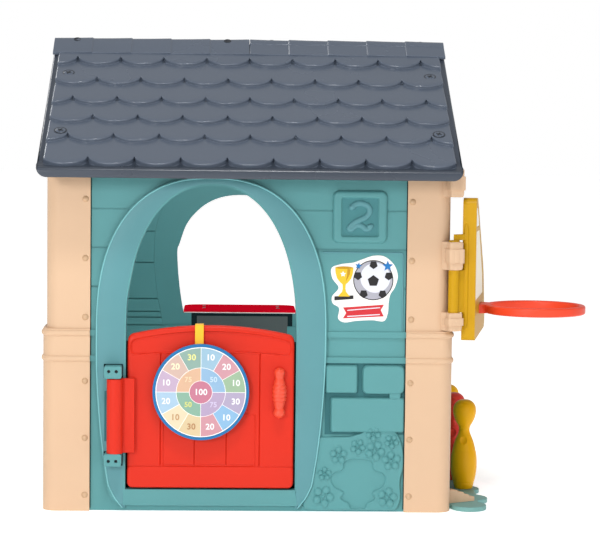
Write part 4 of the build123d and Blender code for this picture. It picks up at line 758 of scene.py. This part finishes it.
plaque()
plaqueFigure()
wallY = -wall["face"]
# darker teal sheet in the plaque's sunk field: painted shade
slab("plaqueFieldShade", (233.0, 326.0), (wallY - 4.6, wallY + 2), (704.0, 802.0), "tealFieldShade", 1.0)
# darker teal plate behind the bricks: painted shade in the gaps between them
slab("brickBedShade", (196.0, 399.0), (wallY - 0.5, wallY + 2), (198.0, 380.5), "tealShade")
for one in relief["bricks"]:
    brick(*one)
bush()
panelBead()

decal = dict(x=293.0, z=571.0, face=470.35, layer=0.22)


def decalShape(name, outline, level, finish):
    # thin flat layer of the sticker, in millimetres from its middle
    d = decal
    outline = np.asarray(outline, float) + (d["x"], d["z"])
    prism("sticker" + name, outline, (-d["face"] - d["layer"] * level, -d["face"]), finish)


def circle(x, z, radius, count=48, squash=1.0):
    turn = np.linspace(0, 2 * np.pi, count, endpoint=False)
    return np.column_stack([x + radius * np.cos(turn), z + radius * squash * np.sin(turn)])


def star(x, z, radius, turn=90.0):
    angle = np.radians(turn + 36 * np.arange(10))
    size = np.where(np.arange(10) % 2 == 0, radius, radius * 0.45)
    return np.column_stack([x + size * np.cos(angle), z + size * np.sin(angle)])


def mirrored(half):
    # a half outline, from top to bottom, closed by its mirror image
    half = np.asarray(half, float)
    return np.vstack([half, half[::-1] * (-1, 1)])


backing = ((-60, 62), (-30, 66), (-8, 74), (22, 84), (50, 82), (74, 62), (84, 34), (78, 6), (66, -14), (62, -34),
    (60, -62), (50, -82), (20, -80), (-20, -82), (-50, -86), (-66, -76), (-64, -50), (-80, -38), (-82, -20),
    (-66, 2), (-82, 26), (-84, 52))
cup = ((23, 54), (22, 40), (18, 26), (10, 16), (4, 11), (3.4, 0), (5, -8), (10, -14), (15, -20))
# white backing, then a red banner with cut ends, a grey ball, blue stars and a gold cup on a dark foot
for name, outline, level, finish in (
        ("Backing", closedLoop(backing, 200), 1, "whiteSheet"),
        ("Banner", ((-54, -48), (50, -40), (42, -54), (50, -70), (-54, -76), (-46, -62)), 2, "printRed"),
        ("BannerLine", ((-43, -54), (40, -46.5), (40, -49), (-43, -56.5)), 3, "printPale"),
        ("BannerFoot", ((-43, -69.5), (40, -64), (40, -66.5), (-43, -72)), 3, "printPale"),
        ("BallLine", circle(22, 22, 51, 72), 2, "printBlack"),
        ("Ball", circle(22, 22, 48.6, 72), 3, "printGrey"),
        ("BallLight", circle(27, 28, 38, 60), 4, "printPale"),
        ("BallPatch", star(22, 20, 15)[::2], 5, "printBlack"),
        ("StarLarge", star(58, 58, 14), 6, "printBlue"),
        ("StarSmall", star(-16, 58, 9, 80), 6, "printBlue"),
        ("Foot", ((-76, -30), (-28, -26), (-28, -17), (-76, -20)), 6, "printBlack"),
        ("Cup", mirrored(cup) + (-52, 0), 7, "cupGold"),
        ("CupMouth", circle(-52, 53, 21, 40, 0.16), 8, "cupShade"),
        ("CupSide", ((-44, 50), (-36, 49), (-38, 36), (-45, 22), (-48, 18), (-45, 34)), 8, "cupShade"),
        ("CupStar", star(-55, 37, 8), 8, "whiteSheet")):
    decalShape(name, outline, level, finish)
for k in range(5):                                                  # the patches round the middle one
    turn = 90 + 72 * k
    x, z = 22 + 41 * math.cos(math.radians(turn)), 20 + 41 * math.sin(math.radians(turn))
    decalShape(f"BallPatch{k}", star(x, z, 11, turn + 180)[::2], 5, "printBlack")

inside = dict(face=444.0, proud=5.0, gap=1.5, bandFoot=380.0, bandNarrow=140.0, liningZ=(421.5, 627.0),
    liningWidth=20.0, bandHalf=254.0, bandSpring=600.0, bandTop=866.0, bandPower=2.3, windowX=-17.0, joints=(14.0,
    120.0, 226.0, 332.0, 384.0, 407.0, 424.0, 462.0, 569.0, 661.0, 757.0, 868.0))


def bandEdge(z):
    # half width of the smooth band round the window at a height
    i = inside
    above = np.clip((z - i["bandSpring"]) / (i["bandTop"] - i["bandSpring"]), 0, 1)
    below = np.clip((i["bandSpring"] - z) / 215, 0, 1)
    return i["bandHalf"] * (1 - above ** i["bandPower"]) ** (1 / i["bandPower"]) - 28 * below**1.8


def insideBoards():
    # boards on the inside of the back wall, ending along the band round the window
    i = inside
    for number, (low, high) in enumerate(zip(i["joints"], i["joints"][1:])):
        low, high = low + i["gap"], high - i["gap"]
        z = np.linspace(low, high, 24)
        edge = np.maximum(bandEdge(z), 0) if low > i["bandFoot"] else np.full_like(z, i["bandNarrow"])
        for end in (-1, 1):
            curve = np.column_stack([i["windowX"] + end * edge, z])
            outline = np.vstack([curve, [(end * 398, high), (end * 398, low)]])
            name = f"insideBoard{number}{handName(end)}"
            prism(name, outline, (i["face"] + 1, i["face"] - i["proud"]), "tealWall", 1.2)


def windowLining():
    # slivers that draw the window sides in towards the sill: the width grows with the square of the drop
    i = inside
    low, high = i["liningZ"]
    z = np.linspace(low, high, 40)
    width = i["liningWidth"] * ((high - z) / 206) ** 2
    for end in (-1, 1):
        outer = i["windowX"] + end * 193.0
        curve = np.column_stack([i["windowX"] + end * (187.0 - width), z])
        outline = np.vstack([curve, [(outer, high), (outer, low)]])
        prism("windowLining" + handName(end), outline, (443.5, 468.5), "tealWall")


insideBoards()
windowLining()
doorShadeY, doorShadeZ = (-455.4, -449.0), (57.0, 432.0)
for name, xs, ys, zs, finish in (
        # dark rim round the grey panel: painted shade at its edge
        ("sillPanelRim", (-160.0, 138.0), (442.6, 445.0), (338.0, 420.4), "gapShade"),
        ("sillPanel", (-144.0, 124.0), (441.4, 443.0), (338.0, 412.0), "panelGrey"),
        # dark strips behind the leaf, on both sides and under it: painted shade in the gap round the door
        ("doorSealLeft", (-309.6, -302.5), doorShadeY, doorShadeZ, "gapShade"),
        ("doorSealRight", (114.5, 121.6), doorShadeY, doorShadeZ, "gapShade"),
        ("doorSealFoot", (-309.6, 121.6), doorShadeY, (56.0, 64.0), "gapShade")):
    slab(name, xs, ys, zs, finish)
print("walls and posts made")

# ---- door, grip and dartboard

door = dict(
    x=(-304.9, 116.9), foot=60.2, sideTop=449.0, crown=474.0, crownX=-94.0, corner=14.0, back=456.2, face=478.0,
    recess=4.4, kick=(60.0, 115.0), kickProud=3.4, band=(397.0, 409.0), lines=(-221.0, 30.0), panelX=(-214.0, 19.0),
    panelZ=(119.0, 248.0), planks=(-135.0, -54.0), topRound=(15.0, 8.0), sideRound=(8.0, 5.0),
    evenRows=(82.0, 372.0),
)


def doorLeaf():
    # height over the leaf: rounded outline, sunk band under the arched top, kick plate, lines and a panel
    d = door
    (x0, x1), corner, (bandLow, bandHigh), kickTop = d["x"], d["corner"], d["band"], d["kick"][1]
    bend = np.linspace(0, np.pi / 2, 9)[:-1]
    ends = corner * (1 - np.cos(bend))
    middle = fineLine(x0 + corner, x1 - corner, 4.0, d["lines"] + d["panelX"] + d["planks"])
    x = np.concatenate([x0 + ends, middle, (x1 - ends)[::-1]])
    share = np.clip((x - d["crownX"]) / ((x1 - x0) / 2), -1, 1)
    fromSide = np.minimum(x - x0, x1 - x)
    cut = cornerDrop(-fromSide, corner)
    top, foot = d["crown"] - (d["crown"] - d["sideTop"]) * share**2 - cut, d["foot"] + cut
    band = bandHigh - (bandHigh - bandLow) * share**2
    low, high = d["evenRows"]
    even = np.linspace(0, 1, 21)
    fixed = fineLine(low, high, 6.0, (kickTop,) + d["panelZ"])
    z = np.vstack([between(foot, low + 0 * x, np.linspace(0, 1, 12)[:-1]), np.repeat(fixed[:, None], len(x), 1),
                   between(high + 0 * x, band - 5, np.linspace(0, 1, 7)[1:-1]), between(band - 5, band + 7, even),
                   between(band + 7, top - 19, np.linspace(0, 1, 8)[1:-1]),
                   between(top - 19, top, np.sin(np.linspace(0, np.pi / 2, 16)))])
    x = np.repeat(x[None], len(z), 0)
    drop = 4.0 * (1 - roundedStep(z - foot, 5.0))
    for inset, (width, depth) in ((top - z, d["topRound"]), (fromSide + 0 * z, d["sideRound"])):
        drop = drop + depth * (1 - roundedStep(inset, width))
    out = d["face"] - np.minimum(drop, 15)
    inBand = -6 * np.log(np.exp(-(z - band) / 6) + np.exp(-(top - 13 - z) / 6) + np.exp(-(fromSide - 7) / 6))
    out = out - d["recess"] * easedStep(inBand, 2.6) + 0.9 * ridge(inBand + 1.4, 1.5)
    kick = roundedBox(x, z, (x0 - 2, x1 + 2), (d["kick"][0] - 20, kickTop), 12.0)
    out = out + d["kickProud"] * easedStep(kick + 1, 2.0)
    lines = sum(ridge(x - at, 1.0) for at in d["lines"]) * (z > kickTop + 2) * (z < band - 1)
    planks = sum(ridge(x - at, 0.9) for at in d["planks"]) * (z > d["panelZ"][0]) * (z < d["panelZ"][1])
    panel = roundedBox(x, z, d["panelX"], d["panelZ"], 4.0)
    out = out - 3.2 * lines - 2.8 * planks - 1.4 * easedStep(panel, 1.5) + 1.1 * ridge(panel + 1.2, 1.2)
    points = onPlane(x, out, z)
    rear = points[[-1, 0]]
    rear[..., 1] = -d["back"]
    piece = surface("doorLeafShown", np.concatenate([points, rear]), "redDoor", "door", wrapRows=True, caps=True,
        smooth=50)
    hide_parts("door_leaf")


doorLeaf()
softened("hinge_knuckle", "redDoor", 2.2)
for height, low in (("Lower", 119.5), ("Upper", 342.5)):
    softened("hinge_block_" + height.lower(), "tealWall", 3.0, 3)
    slab("hingeShade" + height, (-364.5, -315.5), (-485.0, -470.0), (low - 2.5, low + 33.5), "gapShade", 1.0)
# darker teal strip beside the hinge barrel: painted shade
slab("hingeSlotShade", (-362.5, -353.0), (-483.5, -472.0), (179.0, 307.0), "tealShade")
paint("hinge_block_screws", "darkScrew")
paint("door_hinge_pin", "turnedSteel")
paint("grip_screws", "turnedSteel")

grip = dict(x=79.5, y=-492.0, low=241.0, high=371.0, around=56)


def gripProfile():
    # ball, waist, belled middle with four rings, waist and ball
    z = np.linspace(0, 1, 120)
    keys = np.array([(0, 0.02), (0.02, 6), (0.06, 12.5), (0.10, 14.6), (0.15, 14), (0.20, 10.8), (0.26, 12.5),
        (0.36, 16.8), (0.50, 18.4), (0.62, 17.2), (0.72, 13.4), (0.79, 10.2), (0.85, 12.4), (0.91, 13.8),
        (0.96, 11.5), (0.99, 5.5), (1, 0.02)])
    radius = np.interp(z, keys[:, 0], keys[:, 1])
    rings = 1.7 * (0.5 + 0.5 * np.cos(z * 2 * np.pi * 12)) ** 3
    radius = radius - np.where((z > 0.3) & (z < 0.7), rings, 0)
    return np.stack([radius, z * (grip["high"] - grip["low"])], -1)


gripPlace = (grip["x"], grip["y"], grip["low"])
gripPiece = turned("doorGripShown", gripProfile(), gripPlace, "redGrip", "door", grip["around"])
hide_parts("door_grip")
softened("dart_strap", "yellowStrap", 1.0)

dart = dict(
    x=-119.0, z=308.0, y=-502.6, radius=114.3, inner=29.0, middle=62.0, line=1.1, edge=2.2,
    centreInk=(184, 112, 134), paleInk=(232, 232, 232), trayRim=112.0, slimRim=114.9,
    innerInks=((134, 170, 200), (168, 150, 180), (126, 166, 146), (206, 168, 138)),      # clockwise from the top
    outerInks=((142, 176, 196), (192, 140, 150), (144, 172, 142), (164, 154, 180), (128, 172, 206),
        (192, 138, 148), (206, 186, 146), (214, 200, 168), (156, 186, 208), (182, 160, 184), (196, 168, 156),
        (130, 160, 150)),
    innerNumbers=(("50", (186, 208, 226)), ("75", (196, 186, 212)), ("50", (206, 208, 120)),
        ("75", (220, 200, 166))),
    outerNumbers=(("10", None), ("20", None), ("10", None), ("30", None), ("10", None), ("20", None),
        ("30", (170, 124, 80)), ("10", (184, 142, 98)), ("20", None), ("10", None), ("20", (244, 226, 190)),
        ("30", (222, 220, 140))),
)


def dartFace():
    # polar grid from the middle of the face to its rim and round to the back; each face takes its ink from
    # its ring and sector, and the white lines keep one width because their angle shrinks with the radius
    d = dart
    half = d["line"] / 2
    radii = np.array([0.02, 12, d["inner"] - half, d["inner"] + half, 40, 51, d["middle"] - half, d["middle"]
        + half, 78, 95, d["radius"] - d["edge"], d["radius"], d["radius"], 0.02])
    depth = np.array([0.0] * 12 + [1.3, 1.3])
    step = math.radians(30)
    share = np.array([0.0, 0.2, 0.4, 0.6, 0.8, 1.0])
    thin = np.arcsin(np.clip(half / np.maximum(radii, 3.0), 0, 0.2))[:, None, None]
    angles = (np.arange(12) * step)[None, :, None] + thin + (step - 2 * thin) * share[None, None, :]
    angles = angles.reshape(len(radii), -1)
    count = angles.shape[1]
    away = radii[:, None]
    points = onPlane(d["x"] + away * np.sin(angles), -d["y"] - depth[:, None], d["z"] + away * np.cos(angles))
    faces = gridFaces(len(radii), count, wrapColumns=True)
    ring = np.repeat(np.arange(len(radii) - 1), count)
    column = np.tile(np.arange(count), len(radii) - 1)
    r = ((radii[:-1] + radii[1:]) / 2)[ring]
    sector, isLine = column // 6, column % 6 == 5
    white = np.array(rgb(244, 243, 240))
    outerInk, innerInk = (np.array([rgb(*c) for c in d[k]]) for k in ("outerInks", "innerInks"))
    ink = np.where((r > d["middle"])[:, None], outerInk[sector], innerInk[sector // 3])
    ink = np.where((r < d["inner"])[:, None], np.array(rgb(*d["centreInk"])), ink)
    line = isLine & ((r > d["middle"]) | ((r > d["inner"]) & (sector % 3 == 2)))
    rings = (np.abs(r - d["inner"]) < half) | (np.abs(r - d["middle"]) < half) | (ring >= 10)
    ink = np.where((line | rings)[:, None], white, ink)
    mesh = closedMesh("dartFace", points.reshape(-1, 3), faces.tolist(), 3e-5, ink)
    return newPiece("dartFaceShown", mesh, "printedFace", "dartboard")


def numberMesh(text, size, away, turn, ink, depth=0.35, fat=0.5):
    # one upright number as a thin mesh on the dartboard, at a distance and a turn from its middle
    curve = bpy.data.curves.new("figure", "FONT")
    curve.body = text
    curve.size, curve.extrude, curve.offset = size * mm, depth * mm, fat * mm
    curve.align_x = curve.align_y = "CENTER"
    curve.space_character = 1.06
    holder = bpy.data.objects.new("figure", curve)
    bpy.context.scene.collection.objects.link(holder)
    bpy.context.view_layer.update()
    mesh = bpy.data.meshes.new_from_object(holder.evaluated_get(bpy.context.evaluated_depsgraph_get()))
    place = (dart["x"] + away * math.sin(turn), dart["y"] - 0.2, dart["z"] + away * math.cos(turn))
    mesh.transform(Matrix.Translation(Vector(place) * mm) @ Matrix.Rotation(math.pi / 2, 4, "X"))
    inkFaces(mesh, np.tile(rgb(*(ink or dart["paleInk"])), len(mesh.polygons)))
    bpy.data.objects.remove(holder)
    bpy.data.curves.remove(curve)
    return mesh


def joinMeshes(name, meshes):
    work = bmesh.new()
    for mesh in meshes:
        work.from_mesh(mesh)
    joined = bpy.data.meshes.new(name)
    work.to_mesh(joined)
    work.free()
    return joined


def thinRim(places):
    # the inner wall of the tray's rim is moved out, so that the rim looks slimmer
    x, y, z = places.T
    away = np.hypot(x - dart["x"], z - dart["z"])
    grow = np.where(np.abs(away - dart["trayRim"]) < 0.7, dart["slimRim"] / np.maximum(away, 1), 1)
    return np.stack([dart["x"] + (x - dart["x"]) * grow, y, dart["z"] + (z - dart["z"]) * grow], -1)


softened("dart_tray", "blueRim", 1.2, press=thinRim)
facePiece = dartFace()
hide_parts("dart_sheet")
figures = []
for numbers, size, away, step in ((dart["outerNumbers"], 21, 91, 30), (dart["innerNumbers"], 18, 45, 90)):
    for k, (text, ink) in enumerate(numbers):
        figures.append(numberMesh(text, size, away, math.radians(step * (k + 0.5)), ink))
figures.append(numberMesh("100", 21, 0, 0, None))
newPiece("dartFigures", joinMeshes("dartFigures", figures), "printedFace", "dartboard")
print("door and dartboard made")

# ---- hoop board

softened("hoop_board", "yellowBoard", 4.0, 3)
softened("board_sheet_lower", "creamSheet", 0.5, 1)
softened("board_sheet_upper", "whiteSheet", 0.5, 1)
softened("hoop_ring", "redRing", 0, angle=60)
paint("ring_screws", "turnedSteel")
board = dict(pivot=(518.0, -483.0), yaw=math.radians(10.3), near=18.0, ribZ=(468, 742), ribOut=29.0, ribHalf=7.0)
boardAlong = np.array([math.sin(board["yaw"]), math.cos(board["yaw"])])
boardOut = np.array([math.cos(board["yaw"]), -math.sin(board["yaw"])])


def edgeRib():
    # rounded upright rib on the near edge of the board, thinning to nothing at both ends
    b = board
    z = np.linspace(*b["ribZ"], 60)[:, None]
    grow = np.sqrt(np.clip(1 - np.abs((z - sum(b["ribZ"]) / 2) / 137.2) ** 8, 0.0004, 1))
    bend = np.linspace(0, np.pi, 13)[None, :]
    out = (b["ribOut"] + b["ribHalf"] * np.cos(bend) * grow)[..., None]
    along = (b["near"] + 1.0 - 6.0 * np.sin(bend) ** 0.8 * grow)[..., None]
    place = np.array(b["pivot"]) + along * boardAlong + out * boardOut
    points = np.concatenate([place, (z + 0 * bend)[..., None]], -1)
    tube("boardEdgeRib", points, "yellowBoard", "hoop_board")


edgeRib()

clips = dict(
    bore=13.75, turn=18.0, square=9.0, around=72, radii=(16.8, 18.4, 18.4, 21.5, 21.5, 18.4, 18.4, 17.4),
    heights=dict(lower_clip=(467.4, 476, 481, 481.4, 500, 500.4, 511, 512.6),
                 middle_clip=(622.9, 630, 639, 639.4, 675, 675.4, 690, 692.6),
                 spare_clip=(806.4, 814, 823, 823.4, 858, 858.4, 874, 876.6)),
)


def clipCollar(node, heights):
    # square-shouldered collar round the bore: outside up through the section, then back down inside
    c = clips
    turn = np.linspace(0, 2 * np.pi, c["around"], endpoint=False)
    block = (np.abs(np.cos(turn)) ** c["square"] + np.abs(np.sin(turn)) ** c["square"]) ** (-1 / c["square"])
    radius = np.vstack([np.array(c["radii"])[:, None] * block, np.full((2, c["around"]), c["bore"])])
    height = np.array(heights + (heights[-1], heights[0]))[:, None]
    angle = turn + math.radians(c["turn"])
    x, y = board["pivot"][0] + radius * np.cos(angle), board["pivot"][1] + radius * np.sin(angle)
    points = np.stack([x, y, height + 0 * x], -1)
    surface(node + "Collar", points, "beigePost", wrapRows=True, wrapColumns=True, smooth=30)


for node, heights in clips["heights"].items():
    softened(node, "beigePost", 1.5)
    clipCollar(node, heights)
print("hoop board made")

# ---- pins, plate and wedge

pins = dict(spots=dict(front_pin=(585, -180, "yellowPin"), middle_pin=(571, -36, "redPin"),
    back_pin=(572, 138, "yellowPin")), profile=((0.02, 0), (21, 0), (23.5, 1.5), (25.5, 6), (28, 16), (31.5, 30),
    (34.4, 50), (35, 70), (34, 88), (30.5, 106), (25.2, 126), (18.8, 142), (15, 152), (14, 160), (16, 168),
    (21.5, 178), (27, 190), (30.4, 203), (30.8, 212), (29, 222), (24, 231), (16, 237.2), (8, 239.6), (0.02, 240)),
    plateTop=12.0,)


def bowlingPin(name, spot):
    # smooth turned body with a seam at the waist and over the foot, and a thumb dimple on each side
    path = smoothPath(pins["profile"], 190)
    path[:, 0] = np.maximum(path[:, 0], 0.02)
    path[:, 1] = np.clip(path[:, 1], 0, 240)

    def press(radius, height, angle):
        seam = 0.9 * ridge(height - 17, 1.2) + 0.7 * ridge(height - 104, 1.3)
        dimple = 0.0
        for at in (-1.75, 1.39):
            aside = np.arctan2(np.sin(angle - at), np.cos(angle - at)) * np.maximum(radius, 8)
            away = np.hypot(aside, height - 132) / 9.5
            dimple = dimple + 4.0 * np.clip(1 - away**2, 0, 1) ** 0.6 - 0.9 * ridge(away - 1.12, 0.14)
        return np.maximum(radius - (seam + dimple) * (radius > 3), 0.02)
    piece = turned(name + "Shown", path, (spot[0], spot[1], pins["plateTop"]), spot[2], bodyOf[name], 144, 60,
        press)
    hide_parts(name)


for name, spot in pins["spots"].items():
    bowlingPin(name, spot)
softened("pin_plate", "tealPlate", 2.0)
softened("foot_wedge", "beigePost", 2.0, angle=25)
print("pins made")

# ---- counter

counter = dict(middle=-14.0, shownMiddle=-18.0, widen=1.096)


def widerTray(places):
    # the board is drawn out sideways to reach both window sides
    x, y, z = places.T
    return np.stack([(x - counter["middle"]) * counter["widen"] + counter["shownMiddle"], y, z], -1)


softened("counter", "crimsonTray", 2.0, press=widerTray)
softened("counter_support_left", "crimsonTray", 2.0)
softened("counter_support_right", "crimsonTray", 2.0)
# thin pale strip along the tray's front lower edge
slab("counterPaleEdge", (-182.0, 146.0), (442.4, 444.2), (420.6, 423.2), "whiteSheet", 0.6)
paint("counter_screws", "turnedSteel")
print("counter made")

# ---- studio

studio = dict(
    place=(-0.0518, -5.911, 1.0157), down=4.28, aside=1.903, roll=0.652, lens=129.44, horizon=0.60, zenith=0.40,
    floorGlow=0.54, floorHalf=30, floorDrop=0.0005, lookAt=(0, 0, 0.5),
    # place, size and power of each soft box
    lamps=(((-2.2, -5.4, 1.9), 1.0, 100), ((2.6, -4.8, 1.3), 2.0, 20), ((0.1, -2.6, 4.4), 0.6, 72),
           ((-2.5, 2.6, 3.8), 1.0, 30)),
    cabinLamp=((-0.1, -0.2, 1.02), 0.5, 4.0), cabinTilt=math.radians(35),
)


def inScene(name, data):
    held = bpy.data.objects.new(name, data)
    bpy.context.scene.collection.objects.link(held)
    return held


def studioFloor():
    # a pale floor that glows a little, so that it reads as plain white
    mesh = bpy.data.meshes.new("floor")
    half, low = studio["floorHalf"], -studio["floorDrop"]
    corners = [(-half, -half, low), (half, -half, low), (half, half, low), (-half, half, low)]
    mesh.from_pydata(corners, [], [(0, 1, 2, 3)])
    finish = mouldedPlastic("paleFloor", (250, 250, 250), 0.8, 0.005, 0.0, 100)
    shader = finish.node_tree.nodes["Principled BSDF"]
    shader.inputs["Emission Color"].default_value = (1, 1, 1, 1)
    shader.inputs["Emission Strength"].default_value = studio["floorGlow"]
    mesh.materials.append(finish)
    return inScene("floor", mesh)


floor = studioFloor()


def backdrop():
    # white to the camera, and a softer light on the house, least from overhead
    world = bpy.data.worlds.new("studio")
    bpy.context.scene.world = world
    world.use_nodes = True
    sky = world.node_tree
    way = addNode(sky, "SeparateXYZ", [(0, addNode(sky, "TexCoord").outputs["Generated"])])
    fade = addNode(sky, "MapRange", [("Value", way.outputs["Z"])], From_Min=0.2, From_Max=1.0,
                   To_Min=studio["horizon"], To_Max=studio["zenith"])
    seen = addNode(sky, "LightPath").outputs["Is Camera Ray"]
    pick = sky.nodes.new("ShaderNodeMath")
    pick.operation = "MAXIMUM"
    light = sky.nodes["Background"]
    for source, socket in ((fade.outputs["Result"], pick.inputs[0]), (seen, pick.inputs[1]),
                           (pick.outputs[0], light.inputs["Strength"])):
        sky.links.new(source, socket)
    light.inputs["Color"].default_value = (1, 1, 1, 1)


def lamp(name, at, size, power):
    light = bpy.data.lights.new(name, "AREA")
    light.energy, light.size = power, size
    held = inScene(name, light)
    held.location = at
    held.rotation_euler = (Vector(studio["lookAt"]) - Vector(at)).to_track_quat("-Z", "Y").to_euler()
    return held


backdrop()
for number, values in enumerate(studio["lamps"]):
    lamp(f"softbox{number}", *values)
cabinLight = lamp("cabinFill", *studio["cabinLamp"])
cabinLight.rotation_euler = (studio["cabinTilt"], 0, 0)
cabinLight.visible_camera = cabinLight.visible_glossy = False

camera = bpy.data.cameras.new("camera")
camera.lens = studio["lens"]
camera.sensor_width = 36
camera.clip_end = 100
cameraHolder = inScene("camera", camera)
down, aside, roll = (math.radians(studio[k]) for k in ("down", "aside", "roll"))
ahead = Vector((math.sin(aside) * math.cos(down), math.cos(aside) * math.cos(down), -math.sin(down)))
right = Vector((math.cos(aside), -math.sin(aside), 0))
above = right.cross(ahead)
turnedRight = right * math.cos(roll) + above * math.sin(roll)
turnedUp = above * math.cos(roll) - right * math.sin(roll)
basis = Matrix((turnedRight, turnedUp, -ahead)).transposed().to_4x4()
cameraHolder.matrix_world = Matrix.Translation(Vector(studio["place"])) @ basis
bpy.context.scene.camera = cameraHolder
bpy.context.scene.view_settings.view_transform = "Standard"
print("studio ready")
